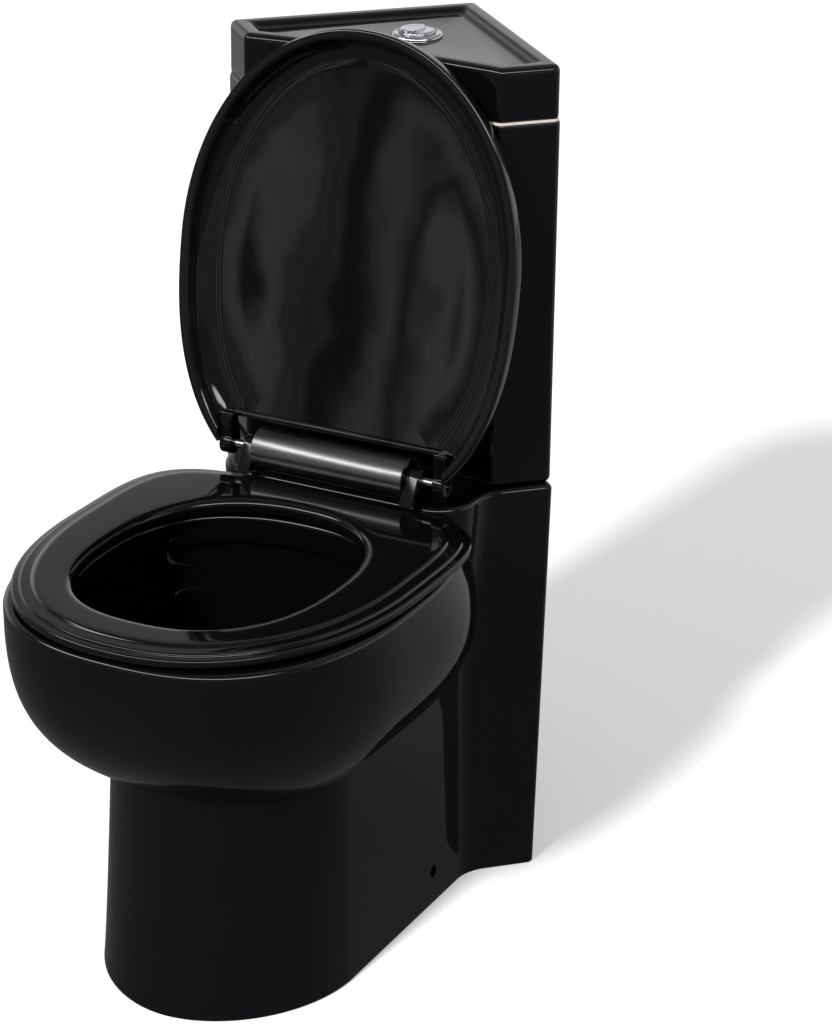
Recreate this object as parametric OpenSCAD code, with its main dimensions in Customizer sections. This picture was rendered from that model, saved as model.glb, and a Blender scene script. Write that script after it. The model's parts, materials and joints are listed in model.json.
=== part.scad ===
// Close-coupled corner toilet: a china pan with a rear box that fits a 90 degree
// room corner, a five-sided cistern with a dual flush, and a seat on a steel barrel hinge.
// Millimetres. The floor is z = 0, the front faces -Y and the room corner is at +Y.

/* [Overall] */
// Depth from the front of the seat to the room corner
depth = 674; // [664:1:690]
// Height of the ledge that carries the cistern
ledge_h = 394; // [390:1:404]
// Drop from the ledge and hinge deck to the bowl rim under the seat
rim_drop = 13; // [11:1:14]
// Thickness of the china walls
china_t = 11; // [9:0.5:13]
// Thickness of the rim deck and the ledge
deck_t = 14; // [12:0.5:16]
// Radius of the china edge in the room corner
apex_r = 8; // [4:0.5:14]
// Radius of the other upright china edges
edge_r = 7; // [3:0.5:10]

/* [Bowl] */
// Width of the bowl at the rim
bowl_w = 356; // [340:1:358]
// Length of the bowl in front of its widest place
bowl_front_l = 216; // [205:1:218]
// Length of the bowl behind its widest place
bowl_rear_l = 235; // [228:1:240]
// Setback of the bowl from the front of the seat
bowl_setback = 2; // [2:0.5:8]
// Height where the underside of the bowl would close
bowl_base_h = 186; // [180:1:192]
// Width of the bowl mouth
mouth_w = 244; // [236:1:256]
// Length of the mouth in front of the widest place
mouth_front_l = 158; // [150:1:166]
// Length of the mouth behind the widest place
mouth_rear_l = 122; // [112:1:128]
// Height of the lowest point of the basin, above the trap
basin_base_h = 182; // [178:1:190]

/* [Foot] */
// Width of the foot on the floor
foot_w = 242; // [236:1:250]
// Length of the foot in front of its widest place
foot_front_l = 138; // [130:1:146]
// Draft of the sides, from the floor to the crease
side_draft = 4; // [1:0.5:6]
// Draft of the front, from the floor to the crease
front_draft = 32; // [20:1:38]
// Height of the crease between foot and bowl
crease_h = 215; // [205:1:222]
// Width of the deck under the hinge
deck_w = 258; // [250:1:264]
// Radius of the fillet between foot and rear box
fillet_r = 44; // [30:1:50]

/* [Rear box] */
// Width of the box at the ledge
box_w = 346; // [342:1:352]
// Width of the front face of the box
box_front_w = 249; // [244:1:256]
// Distance that the box stands away from the room corner at the floor
box_draft = 13; // [6:0.5:18]
// Width of the open back of the box
back_open_w = 210; // [200:1:220]
// Height of the open back of the box
back_open_h = 322; // [300:1:328]

/* [Outlet and inlets] */
// Height of the outlet spigot
spigot_h = 180; // [178:1:186]
// Outside diameter of the outlet spigot
spigot_d = 102; // [98:0.5:110]
// Length that the spigot shows behind the trap
spigot_l = 92; // [70:1:96]
// Bore of the trap
trap_d = 60; // [54:1:64]
// Diameter of the flush inlet
flush_d = 62; // [58:0.5:66]
// Distance of the flush inlet from the room corner
flush_back = 96; // [94:1:100]
// Outside diameter of the water inlet thread
inlet_d = 20.95; // [20:0.05:22]
// Length of the water inlet thread below the cistern
inlet_l = 46; // [40:1:60]
// Diameter of the side fixing holes
side_hole_d = 12; // [10:0.5:14]
// Height of the side fixing holes
side_hole_h = 34; // [28:1:42]
// Distance of the side fixing holes behind the widest place of the bowl
side_hole_back = 159; // [150:1:168]

/* [Cistern] */
// Width of the cistern
tank_w = 337; // [330:1:342]
// Distance from the room corner to the front face
tank_depth = 212.8; // [206:0.4:213.2]
// Height of the cistern body
tank_h = 347; // [330:1:370]
// Thickness of the cistern walls
tank_t = 9; // [8:0.5:11]
// Thickness of the cistern floor
tank_floor_t = 12; // [10:0.5:14]
// Hollow of the front face at its middle
front_dip = 8; // [4:0.5:9]
// Height of the bare band under the lid
bare_h = 2.6; // [1:0.1:4]
// Height of the lid
lid_h = 49; // [44:1:60]
// Inset of the lid from the cistern faces
lid_inset = 1; // [0.5:0.5:2]
// Width of the raised rim on the lid
lid_rim_w = 14; // [11:0.5:16]
// Depth of the tray in the lid
tray_d = 6; // [4:0.5:8]

/* [Flush button] */
// Distance of the button in front of the flush inlet
button_fwd = 21.5; // [20:0.5:23]
// Diameter of the bezel
bezel_d = 48; // [46:0.5:50]
// Diameter of the pair of buttons
button_d = 33; // [31:0.5:34]
// Height of the buttons over the bezel
button_rise = 4; // [3:0.5:6]
// Travel of each button
button_travel = 5; // [3:0.5:5]
// Diameter of the push rods
rod_d = 5; // [4:0.5:5.5]

/* [Seat ring] */
// Width of the seat
seat_w = 358; // [350:1:359]
// Length of the seat in front of its widest place
seat_front_l = 230; // [222:1:238]
// Thickness of the seat, from flange to top
seat_t = 14; // [13:0.5:15]
// Height of the lower flange
flange_t = 7; // [5:0.5:8]
// Width of the step above the flange
flange_step = 6; // [4:0.5:7]
// Width of the seat hole
hole_w = 226; // [216:1:232]
// Length of the hole in front of its widest place
hole_front_l = 144; // [136:1:150]
// Length of the hole behind its widest place
hole_rear_l = 134; // [126:1:138]
// Height of the buffers under the seat
buffer_h = 4; // [3.5:0.5:5]

/* [Hinge and cover] */
// Distance of the hinge in front of the cistern
hinge_fwd = 64; // [60:0.5:68]
// Height of the hinge axis above the deck
hinge_rise = 23; // [22:0.5:25]
// Diameter of the hinge barrel
barrel_d = 40; // [38:0.5:41]
// Length of the hinge barrel
barrel_l = 157; // [150:1:158]
// Diameter of the hinge pins
pin_d = 10; // [8:0.5:11]
// Spacing of the hinge bolts
hinge_bolt_gap = 110; // [100:1:116]
// Distance of the hinge bolts behind the hinge axis
hinge_bolt_back = 11.5; // [11:0.5:12]
// Width of the cover
cover_w = 343; // [336:1:350]
// Setback of the closed cover from the front of the seat
cover_setback = 2; // [1:0.5:6]
// Depth of the cover, lip to crown
cover_t = 24; // [22:0.5:25]
// Width of the lip round the cover
lip_w = 8; // [6:0.5:10]
// Angle that the raised cover leans back from upright
cover_lean = 9.6; // [8:0.1:10]

/* [Hidden] */
$fn = 48;

pin_play = 0.05;      // radial play of every pin in its hole
slide_play = 0.4;     // radial play of the loose plastic slides
face_gap = 0.3;       // gap between faces that move past each other
cut = 1;              // how far a cutting shape runs past the face that it cuts
sides = 44;           // points round each egg outline

// ---- places shared by several pieces
front_y = -depth / 2;
apex_y = depth / 2 + apex_r * (sqrt(2) - 1);
rim_h = ledge_h - rim_drop;
bowl_y = front_y + bowl_setback + bowl_front_l;
seat_y = front_y + seat_front_l;
seat_z = rim_h + buffer_h;
seat_top = seat_z + seat_t;
hinge_z = ledge_h + hinge_rise;
flush_y = depth / 2 - flush_back;
tank_top = ledge_h + tank_h;
lid_top = tank_top + lid_h;
tray_z = lid_top - tray_d;
tank_in = ledge_h + tank_floor_t;

// ---- plan of the corner pieces: five sides, two of them along the walls
// (back is how far the two wall faces stand away from the walls, along the middle)
function half_of(w) = w / 2 + edge_r * (sqrt(2) - 1);
function front_of(w, front_w) = apex_y - 2 * half_of(w) + front_w / 2;
function corner_plan(w, front_w, inset = 0, back = 0) = let(
    a = apex_y - back - inset * sqrt(2),
    h = half_of(w) - back / 2 - inset * sqrt(2),
    side_y = apex_y - half_of(w) - back / 2,
    f = front_w / 2 - inset * (sqrt(2) - 1),
    front = front_of(w, front_w) + inset
) [[f, front], [h, side_y], [0, a], [-h, side_y], [-f, front]];
tank_front_y = apex_y - tank_depth;
tank_front_w = 2 * (2 * half_of(tank_w) - tank_depth);
tank_facet = half_of(tank_w) - tank_front_w / 2;
hinge_y = tank_front_y - hinge_fwd;
hinge_bolt_y = hinge_y + hinge_bolt_back;
button_y = flush_y - button_fwd;

// rounds every corner of a convex outline with an arc of its own radius
function unit(v) = v / norm(v);
function round_corner(p, c, n, r, steps = 5) = let(
    u = unit(p - c),
    v = unit(n - c),
    half = acos(u * v) / 2,
    m = c + unit(u + v) * r / sin(half),
    s = c + u * r / tan(half) - m,
    e = c + v * r / tan(half) - m,
    turn = 180 - 2 * half
) [for (i = [0:steps]) let(t = i / steps) m + (s * sin((1 - t) * turn) + e * sin(t * turn)) / sin(turn)];
function rounded(pts, radii) = let(n = len(pts)) [
    for (i = [0:n - 1])
        each round_corner(pts[(i + n - 1) % n], pts[i], pts[(i + 1) % n], radii[i])
];
function corner_outline(w, front_w, inset = 0, back = 0) = let(
    r = max(edge_r - inset, 1.5),
    a = max(apex_r - inset, 2)
) rounded(corner_plan(w, front_w, inset, back), [r, r, a, r, r]);

// the hollow front of cistern and lid is one true arc between the front corners
module hollow_front(w, front_w, inset = 0) {
    half = front_w / 2;
    arc_r = (half * half + front_dip * front_dip) / (2 * front_dip);
    translate([0, front_of(w, front_w) + front_dip - arc_r]) circle(r = arc_r + inset, $fn = 360);
}
module corner_prism(w, front_w, inset, z, h) {
    translate([0, 0, z]) linear_extrude(h) difference() {
        polygon(corner_outline(w, front_w, inset));
        hollow_front(w, front_w, inset);
    }
}

// ---- egg outlines: one width, a front and a rear length, and how square each end is
function power(v, e) = sign(v) * pow(abs(v), e);
function egg(w, front, rear, nf, nr, y, z, n = sides) = [
    for (i = [0:n - 1]) let(
        t = 360 * (i + 0.5) / n,
        ends = sin(t) < 0 ? [front, 2 / nf] : [rear, 2 / nr]
    ) [w / 2 * power(cos(t), ends[1]), y + ends[0] * power(sin(t), ends[1]), z]
];
// a closed skin over rings that all hold as many points
module skin(rings) {
    n = len(rings[0]);
    last = len(rings) - 1;
    polyhedron(
        points = [for (r = rings) each r],
        faces = concat(
            [[for (j = [0:n - 1]) j]],
            [for (i = [0:last - 1], j = [0:n - 1]) each let(
                a = i * n + j,
                b = i * n + (j + 1) % n
            ) [[a, a + n, b + n], [a, b + n, b]]],
            [[for (j = [n - 1:-1:0]) last * n + j]]
        )
    );
}

// ---- pan: the outside
bowl_square = 2.45;          // squareness of the bowl's front
rear_square = [2.5, 4];      // squareness of its rear, at the rim and deep down
foot_round = 1.9;            // squareness of the foot's front
function swell(t, m, k) = pow(1 - pow(t, m), 1 / k);
// the bowl narrows to nothing at base_h: its sides, front and rear each at their own rate
function bowl_ring(z, base_h, w, front, rear, top_h = rim_h) = let(
    t = min(max((top_h - z) / (top_h - base_h), 0), 0.985)
) egg(w * swell(t, 3, 2.5), front * swell(t, 2.9, 1.7), rear * swell(t, 4, 4),
    bowl_square, rear_square[0] + (rear_square[1] - rear_square[0]) * min(t / 0.6, 1), bowl_y, z);
bowl_steps = [0.985, 0.955, 0.9, 0.82, 0.72, 0.6, 0.46, 0.3, 0.15];
rim_round = 6;
module bowl_form(inset) {
    drop = rim_h - bowl_base_h;
    w = bowl_w - 2 * inset;
    front = bowl_front_l - inset;
    rear = bowl_rear_l - inset;
    lift = inset > 0 ? inset : 0;
    rim = inset > 0 ? deck_t : 0;
    hull() skin(concat(
        [for (t = bowl_steps) bowl_ring(rim_h - t * (drop - lift), bowl_base_h + lift, w, front, rear)],
        [for (a = inset > 0 ? [0] : [0, 30, 60, 90]) let(c = rim_round * (1 - cos(a)))
            egg(w - 2 * c, front - c, rear - c, bowl_square, rear_square[0], bowl_y,
                rim_h - rim - rim_round * (1 - sin(a)))]
    ));
}
// The foot and the deck end in fillets that lead into the facets of the rear box: each
// fillet is an arc between the side, at half-width h, and the facet at 45 degrees.
box_front_y = front_of(box_w, box_front_w);
function side_fillet(h, inset) = let(
    r = fillet_r + inset,
    facet = box_front_y - box_front_w / 2 + inset * sqrt(2),
    start = h + facet - r * tan(22.5)
) [for (a = [0:15:45]) [h + r * (1 - cos(a)), start + r * sin(a)]];
// a plan ring: the front half of an egg, or a rounded front, between two filleted sides
function filleted_ring(h, front, inset, z) = let(side = side_fillet(h, inset)) [
    for (p = [for (i = [len(side) - 1:-1:0]) [-side[i][0], side[i][1]]]) [p[0], p[1], z],
    for (p = front) [p[0], p[1], z],
    for (p = side) [p[0], p[1], z]
];
// the draft eases in over the foot, and the sides open out again up to the deck
function draft_at(z) = pow(max(min(z / crease_h, 1), 0), 0.6);
function half_width(z) = let(up = min(max(z - crease_h, 0) / (rim_h - crease_h), 1))
    foot_w / 2 - side_draft * draft_at(z) + (deck_w / 2 - foot_w / 2 + side_draft) * up;
function foot_ring(z, inset) = let(
    h = half_width(z) - inset,
    front = foot_front_l - front_draft * draft_at(z) - inset,
    n = sides / 2
) filleted_ring(h, [for (i = [0:n]) let(t = 180 + 180 * i / n)
    [h * power(cos(t), 2 / foot_round), bowl_y + front * power(sin(t), 2 / foot_round)]], inset, z);
foot_levels = [0, 0.02, 0.06, 0.13, 0.25, 0.4, 0.56, 0.75, 1];
module foot_form(inset, z0, z1) {
    skin([for (k = foot_levels) foot_ring(z0 + k * (z1 - z0), inset)]);
}
// the deck carries the hinge at the height of the ledge, behind the sunken rim of the bowl
deck_front_y = hinge_y - 7;
ring_deck_gap = 1.5;
deck_round = 5;
deck_corner_r = 12;
function deck_ring(z, inset, edge) = let(
    h = half_width(z) - inset - edge,
    r = max(deck_corner_r - inset - edge, 2),
    y = deck_front_y + inset + edge
) filleted_ring(h, concat(
    [for (a = [180:22.5:270]) [-h + r + r * cos(a), y + r + r * sin(a)]],
    [for (a = [270:22.5:360]) [h - r + r * cos(a), y + r + r * sin(a)]]), inset, z);
module deck_form(inset, z0, top) {
    round = inset > 0 ? 0.5 : deck_round;
    skin(concat([deck_ring(z0, inset, 0), deck_ring(rim_h - deck_t, inset, 0)], [for (a = [0:30:90])
        deck_ring(top - round * (1 - sin(a)), inset, round * (1 - cos(a)))]));
}
module box_form(inset, z0, z1) {
    function at(z) = [for (p = corner_outline(box_w, box_front_w, inset, box_draft * (1 - z / ledge_h)))
        [p[0], p[1], z]];
    hull() skin([at(z0), at(z1)]);
}

// ---- pan: the basin, the water ways and the trap inside
basin_rim_t = 40;
function basin_ring(t, inset) = bowl_ring(
    rim_h - basin_rim_t - t * (rim_h - basin_rim_t - basin_base_h + inset), basin_base_h - inset,
    mouth_w + 2 * inset, mouth_front_l + inset, mouth_rear_l + inset, rim_h - basin_rim_t);
module basin_form(inset, top) {
    hull() skin(concat(
        [for (t = [0.985, 0.9, 0.78, 0.62, 0.42, 0.2]) basin_ring(t, inset)],
        [for (z = [rim_h - basin_rim_t, top])
            egg(mouth_w + 2 * inset, mouth_front_l + inset, mouth_rear_l + inset,
                bowl_square, 2.3, bowl_y, z)]
    ));
}
trap_end_y = depth / 2 - flush_back - spigot_l + 4;
trap_path = [
    [bowl_y + 2, basin_base_h + 26],
    [bowl_y + 14, basin_base_h - 24],
    [bowl_y + 45, 108],
    [bowl_y + 90, 90],
    [bowl_y + 135, 104],
    [bowl_y + 172, 150],
    [bowl_y + 208, spigot_h + 16],
    [trap_end_y - 12, spigot_h + 6],
    [trap_end_y + 6, spigot_h],
];
trap_sides = 16;
function trap_ring(i, r) = let(
    last = len(trap_path) - 1,
    a = trap_path[max(i - 1, 0)],
    b = trap_path[min(i + 1, last)],
    d = unit(b - a),
    c = trap_path[i]
) [for (k = [0:trap_sides - 1]) let(t = 360 * (k + 0.5) / trap_sides)
    [r * cos(t), c[0] - d[1] * r * sin(t), c[1] + d[0] * r * sin(t)]];
module trap_form(r) {
    rings = [for (i = [0:len(trap_path) - 1]) trap_ring(i, r)];
    n = trap_sides;
    last = len(rings) - 1;
    polyhedron(
        points = [for (r = rings) each r],
        faces = concat(
            [[for (j = [n - 1:-1:0]) j]],
            [for (i = [0:last - 1], j = [0:n - 1]) each let(
                a = i * n + j,
                b = i * n + (j + 1) % n
            ) [[a, b, b + n], [a, b + n, a + n]]],
            [[for (j = [0:n - 1]) last * n + j]]
        )
    );
}
duct_w = 60;
duct_t = 8;
duct_h = 34;
recess_r = flush_d / 2 + 21;
recess_d = 26;
boss_t = 14;
boss_base = ledge_h - recess_d - boss_t;
duct_z = boss_base - duct_h + boss_t;
module duct_form(grow) {
    start = bowl_y + mouth_rear_l - 14;
    translate([-duct_w / 2 - grow, start, duct_z - grow])
        cube([duct_w + 2 * grow, flush_y + flush_d / 2 + grow - start, duct_h + 2 * grow]);
}
module china_body() {
    resize([0, 0, ledge_h]) difference() {
        union() {
            difference() {
                union() {
                    bowl_form(0);
                    foot_form(0, 0, rim_h - 2);
                    deck_form(0, crease_h + 90, ledge_h);
                    box_form(0, 0, ledge_h);
                }
                bowl_form(china_t);
                foot_form(china_t, -1, rim_h - deck_t);
                deck_form(china_t, crease_h + 90, ledge_h - deck_t);
                box_form(china_t, -1, ledge_h - deck_t);
                translate([-back_open_w / 2, box_front_y + 60, -1])
                    cube([back_open_w, depth, back_open_h + 1]);
            }
            intersection() {
                basin_form(china_t, rim_h - 1);
                union() {
                    bowl_form(1);
                    foot_form(1, 1, rim_h - 2);
                }
            }
            trap_form(trap_d / 2 + 9);
            duct_form(duct_t);
        }
        basin_form(0, rim_h + 5);
        duct_form(0);
    }
}
bolt_x = 58;              // coupling bolts, each side of the middle
bolt_y = tank_front_y + 43;
bolt_r = 4;
bolt_hole_r = bolt_r + 2.5;
fill_share = 0.31454;     // the fill valve stands in the left corner of the cistern
fill_back = 35.65;
fill_x = -fill_share * tank_w;
fill_y = tank_front_y + fill_back + tank_facet / 4;
fill_hole_r = 29;
hinge_bolt_r = 3;
hinge_hole_r = hinge_bolt_r + 2.5;
side_hole_y = bowl_y + side_hole_back;
module pan() {
    color([0.035, 0.035, 0.04]) difference() {
        union() {
            china_body();
            translate([0, flush_y, boss_base]) cylinder(r = recess_r + 9, h = recess_d + boss_t - 1);
            translate([0, trap_end_y - 2, spigot_h]) rotate([-90, 0, 0])
                cylinder(d = spigot_d, h = spigot_l);
        }
        trap_form(trap_d / 2);
        translate([0, trap_end_y + 4, spigot_h]) rotate([-90, 0, 0])
            cylinder(d = spigot_d - 2 * china_t, h = spigot_l);
        translate([0, flush_y, ledge_h - recess_d]) cylinder(r = recess_r, h = recess_d + 1);
        translate([0, flush_y, duct_z + 1]) cylinder(d = flush_d, h = ledge_h - duct_z);
        for (s = [-1, 1]) {
            translate([s * bolt_x, bolt_y, ledge_h - deck_t - 4]) cylinder(r = bolt_hole_r, h = deck_t + 8);
            translate([s * hinge_bolt_gap / 2, hinge_bolt_y, ledge_h - deck_t - 4])
                cylinder(r = hinge_hole_r, h = deck_t + 8);
        }
        translate([fill_x, fill_y, ledge_h - deck_t - 4]) cylinder(r = fill_hole_r, h = deck_t + 8);
        translate([-foot_w, side_hole_y, side_hole_h]) rotate([0, 90, 0])
            cylinder(d = side_hole_d, h = 2 * foot_w);
    }
}

// ---- cistern and lid
valve_hole_r = flush_d / 2 + 1;
inlet_hole_r = inlet_d / 2 + 1.2;
module cistern() {
    color([0.035, 0.035, 0.04]) difference() {
        union() {
            corner_prism(tank_w, tank_front_w, 0, ledge_h, tank_h - bare_h);
            corner_prism(tank_w, tank_front_w, lid_inset, tank_top - bare_h - 1, bare_h + 1);
        }
        corner_prism(tank_w, tank_front_w, tank_t, tank_in, tank_h);
        translate([0, flush_y, ledge_h - 1]) cylinder(r = valve_hole_r, h = tank_floor_t + 2);
        for (s = [-1, 1])
            translate([s * bolt_x, bolt_y, ledge_h - 1]) cylinder(r = bolt_hole_r, h = tank_floor_t + 2);
        translate([fill_x, fill_y, ledge_h - 1]) cylinder(r = inlet_hole_r, h = tank_floor_t + 2);
    }
}
lid_t = 9;
lid_rib_t = 6;
lid_rib_gap = 2;
lid_rib_d = 8;
neck_r = button_d / 2 + 3.5;
neck_hole_r = neck_r + 1;
module cistern_lid() {
    color([0.035, 0.035, 0.04]) difference() {
        union() {
            corner_prism(tank_w, tank_front_w, lid_inset, tank_top, lid_h);
            corner_prism(tank_w, tank_front_w, tank_t + lid_rib_gap, tank_top - lid_rib_d, lid_rib_d + 1);
        }
        corner_prism(tank_w, tank_front_w, tank_t + lid_rib_gap + lid_rib_t, tank_top - lid_rib_d - 1,
            lid_h + lid_rib_d + 1 - tray_d - lid_t);
        corner_prism(tank_w, tank_front_w, lid_rim_w, tray_z, tray_d + 1);
        translate([0, button_y, tank_top]) cylinder(r = neck_hole_r, h = lid_h);
    }
}

// ---- seat ring: a lower flange, a step, and a broad top round an oval hole
ring_square = [2.2, 3.6];
seat_rear_l = deck_front_y - ring_deck_gap - seat_y;
module ring_layer(levels) {
    hull() skin([for (l = levels)
        egg(seat_w - 2 * l[0], seat_front_l - l[0], seat_rear_l - l[0], ring_square[0], ring_square[1],
            seat_y, seat_z + l[1])]);
}
ring_front_w = 54;                         // width of the ring in front of its hole
hole_y = front_y + ring_front_w + hole_front_l;
hole_edge = 6;
ring_notch_back = barrel_d / 2 - 5;
module seat_hole() {
    function ring(out, z) = egg(hole_w + 2 * out, hole_front_l + out, hole_rear_l + out,
        2.4, 2.3, hole_y, seat_z + z);
    skin([
        ring(0, -1), ring(0, seat_t - hole_edge), ring(0.8, seat_t - hole_edge * 0.6),
        ring(2.6, seat_t - hole_edge * 0.2), ring(hole_edge, seat_t + 0.3), ring(hole_edge, seat_t + 2),
    ]);
}
block_w = 12.5;                            // width of each hinge block on the ring
block_x = barrel_l / 2 + face_gap;         // inner face of each hinge block
ring_notch_w = 2 * (block_x - 2);
module seat_ring() {
    step = flange_step;
    color([0.03, 0.03, 0.035]) difference() {
        union() {
            ring_layer([[2.5, 0], [0.7, 1.2], [0, 3], [0, flange_t - 2], [1.5, flange_t]]);
            ring_layer([[step, 1], [step, seat_t - 5], [step + 1, seat_t - 2.2], [step + 3, seat_t - 0.6],
                [step + 6, seat_t]]);
        }
        seat_hole();
        translate([-ring_notch_w / 2, hinge_y - ring_notch_back, seat_z - 1])
            cube([ring_notch_w, barrel_d, seat_t + 2]);
    }
}
block_wall = 6.5;
block_r = pin_d / 2 + block_wall;
block_foot = 15;                           // length of each block where it joins the ring
module ring_hinge_blocks() {
    base = seat_top - hinge_z - 0.5;
    back = deck_front_y - ring_deck_gap - hinge_y;
    neck = pin_d / 2;
    color([0.04, 0.04, 0.045]) for (s = [-1, 1])
        translate([s * (block_x + block_w / 2) - block_w / 2, hinge_y, hinge_z]) difference() {
            rotate([90, 0, 90]) linear_extrude(block_w) union() {
                circle(r = block_r);
                polygon([
                    [back - block_foot, base], [back, base], [back, 1 - neck], [0, 0], [back - 2, neck],
                ]);
            }
            translate([-1, 0, 0]) rotate([0, 90, 0]) cylinder(r = pin_d / 2 + pin_play, h = block_w + 2);
        }
}
buffer_r = 9;
module ring_buffers() {
    at = [[0.62, -0.62], [0.76, 0.42]];
    color([0.12, 0.12, 0.12]) for (p = at, s = [-1, 1])
        translate([s * p[0] * (seat_w / 2), seat_y + p[1] * (p[1] < 0 ? seat_front_l : seat_rear_l), rim_h])
            cylinder(r = buffer_r, h = buffer_h);
}

// ---- cover, drawn closed about the hinge and then swung up to where it rests
cover_l = hinge_y - front_y - cover_setback;
cover_mid = 185;
cover_square = [2.05, 2.45];
cover_lip = -16;                 // height of the lip plane from the hinge axis, when closed
cover_shell_t = 5;
pin_show = 14;                   // length of each pin that shows between the blocks
ear_x = block_x + block_w + pin_show;
ear_w = 12;
ear_low = 3.5;                   // where the ears meet the wall of the cover, over its lip
ear_high = 17;
cover_notch_l = barrel_d / 2 + 6;
module raised() {
    translate([0, hinge_y, hinge_z]) rotate([-90 - cover_lean, 0, 0]) children();
}
function cover_ring(inset, z) = egg(cover_w - 2 * inset, cover_l - cover_mid - inset,
    cover_mid + cover_rear - inset, cover_square[0], cover_square[1], -cover_mid, z);
cover_rear = 40;
module seat_cover() {
    top = cover_lip + cover_t;
    color([0.03, 0.03, 0.035]) raised() difference() {
        hull() skin([
            cover_ring(0.8, cover_lip), cover_ring(0, cover_lip + 1), cover_ring(0.6, cover_lip + 12),
            cover_ring(3, top - 6), cover_ring(8, top - 3), cover_ring(24, top - 1), cover_ring(60, top),
        ]);
        hull() skin([cover_ring(lip_w, cover_lip - 1), cover_ring(lip_w + 1, cover_lip + 8),
            cover_ring(lip_w + 4, top - cover_shell_t - 5), cover_ring(lip_w + 10, top - cover_shell_t - 2),
            cover_ring(lip_w + 30, top - cover_shell_t)]);
        translate([-ear_x - ear_w, -cover_notch_l, cover_lip - 1])
            cube([2 * (ear_x + ear_w), cover_notch_l + 60, cover_t + 2]);
        translate([-cover_w, block_r + 1, cover_lip - 1]) cube([2 * cover_w, 60, cover_t + 2]);
    }
    // the straight wall behind the barrel closes the hollow of the cover
    color([0.03, 0.03, 0.035]) raised() intersection() {
        translate([-ear_x - ear_w - 4, -cover_notch_l - 5, cover_lip])
            cube([2 * (ear_x + ear_w + 4), 5, cover_t]);
        hull() skin([cover_ring(2, cover_lip), cover_ring(2, cover_lip + 12), cover_ring(5, top - 4),
            cover_ring(20, top - 2)]);
    }
}
module cover_hinge_blocks() {
    color([0.04, 0.04, 0.045]) raised() for (s = [-1, 1])
        translate([s * (ear_x + ear_w / 2) - ear_w / 2, 0, 0]) difference() {
            rotate([90, 0, 90]) linear_extrude(ear_w) union() {
                circle(r = block_r - 1);
                polygon([
                    [-cover_notch_l, cover_lip + ear_low], [-block_wall, cover_lip + 2 * ear_low], [0, 0],
                    [0, block_r - 1], [-cover_notch_l, cover_lip + ear_high],
                ]);
            }
            translate([-1, 0, 0]) rotate([0, 90, 0]) cylinder(r = pin_d / 2 + pin_play, h = ear_w + 2);
        }
}

// ---- barrel hinge: a steel sleeve over a carrier that stands on two feet
sleeve_t = 1.2;
foot_r = 7;
hinge_bolt_in = 14;
damper_r = 8;
damper_l = 48;
cap_t = 4;
pin_in = 18;
pin_out = ear_x + ear_w - barrel_l / 2 - 3;
module hinge_line(x) {
    translate([x, hinge_y, hinge_z]) rotate([0, 90, 0]) children();
}
module hinge_barrel() {
    color([0.36, 0.35, 0.34]) difference() {
        hinge_line(-barrel_l / 2) difference() {
            cylinder(d = barrel_d, h = barrel_l);
            translate([0, 0, -1]) cylinder(r = barrel_d / 2 - sleeve_t, h = barrel_l + 2);
        }
        for (s = [-1, 1]) translate([s * hinge_bolt_gap / 2, hinge_bolt_y, hinge_z - barrel_d])
            cylinder(r = foot_r + face_gap, h = barrel_d);
    }
}
module hinge_carrier() {
    core_r = barrel_d / 2 - sleeve_t - 0.1;
    color([0.06, 0.06, 0.065]) difference() {
        union() {
            hinge_line(-barrel_l / 2 + cap_t) cylinder(r = core_r, h = barrel_l - 2 * cap_t);
            for (s = [-1, 1]) translate([s * hinge_bolt_gap / 2, hinge_bolt_y, ledge_h])
                cylinder(r = foot_r, h = hinge_rise);
        }
        for (s = [-1, 1]) {
            hinge_line(s > 0 ? barrel_l / 2 - cap_t - pin_in - damper_l + 4 : -barrel_l / 2)
                cylinder(r = damper_r + pin_play, h = cap_t + pin_in + damper_l - 4);
            translate([s * hinge_bolt_gap / 2, hinge_bolt_y, ledge_h - 1])
                cylinder(r = hinge_bolt_r + pin_play, h = hinge_bolt_in + 1);
        }
    }
}
module hinge_end_caps() {
    color([0.02, 0.02, 0.02]) for (s = [-1, 1]) hinge_line(s > 0 ? barrel_l / 2 - cap_t : -barrel_l / 2)
        difference() {
            cylinder(r = barrel_d / 2 - sleeve_t - 0.1, h = cap_t);
            translate([0, 0, -1]) cylinder(r = pin_d / 2 + pin_play, h = cap_t + 2);
        }
}
module hinge_dampers() {
    color([0.5, 0.5, 0.52]) for (s = [-1, 1])
        hinge_line(s > 0 ? barrel_l / 2 - cap_t - pin_in - damper_l + 5 : -barrel_l / 2 + cap_t + pin_in - 5)
            cylinder(r = damper_r, h = damper_l);
}
module hinge_pins() {
    l = cap_t + pin_in - 5 + pin_out;
    color([0.68, 0.68, 0.69]) for (s = [-1, 1])
        hinge_line(s > 0 ? barrel_l / 2 + pin_out - l : -barrel_l / 2 - pin_out) cylinder(d = pin_d, h = l);
}
hinge_washer_t = 3;
hinge_washer_r = 7;
hinge_nut_r = 6;
hinge_nut_t = 10;
hinge_nut_span = 26;
hinge_bolt_out = 24;
module hinge_bolts() {
    color([0.7, 0.7, 0.72]) for (s = [-1, 1])
        translate([s * hinge_bolt_gap / 2, hinge_bolt_y, ledge_h - deck_t - hinge_bolt_out])
            cylinder(r = hinge_bolt_r, h = hinge_bolt_out + deck_t + hinge_bolt_in - 1);
}
module hinge_washers() {
    color([0.1, 0.1, 0.1]) for (s = [-1, 1])
        translate([s * hinge_bolt_gap / 2, hinge_bolt_y, ledge_h - deck_t - hinge_washer_t]) difference() {
            cylinder(r = hinge_washer_r, h = hinge_washer_t);
            translate([0, 0, -1]) cylinder(r = hinge_bolt_r + pin_play, h = hinge_washer_t + 2);
        }
}
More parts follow.
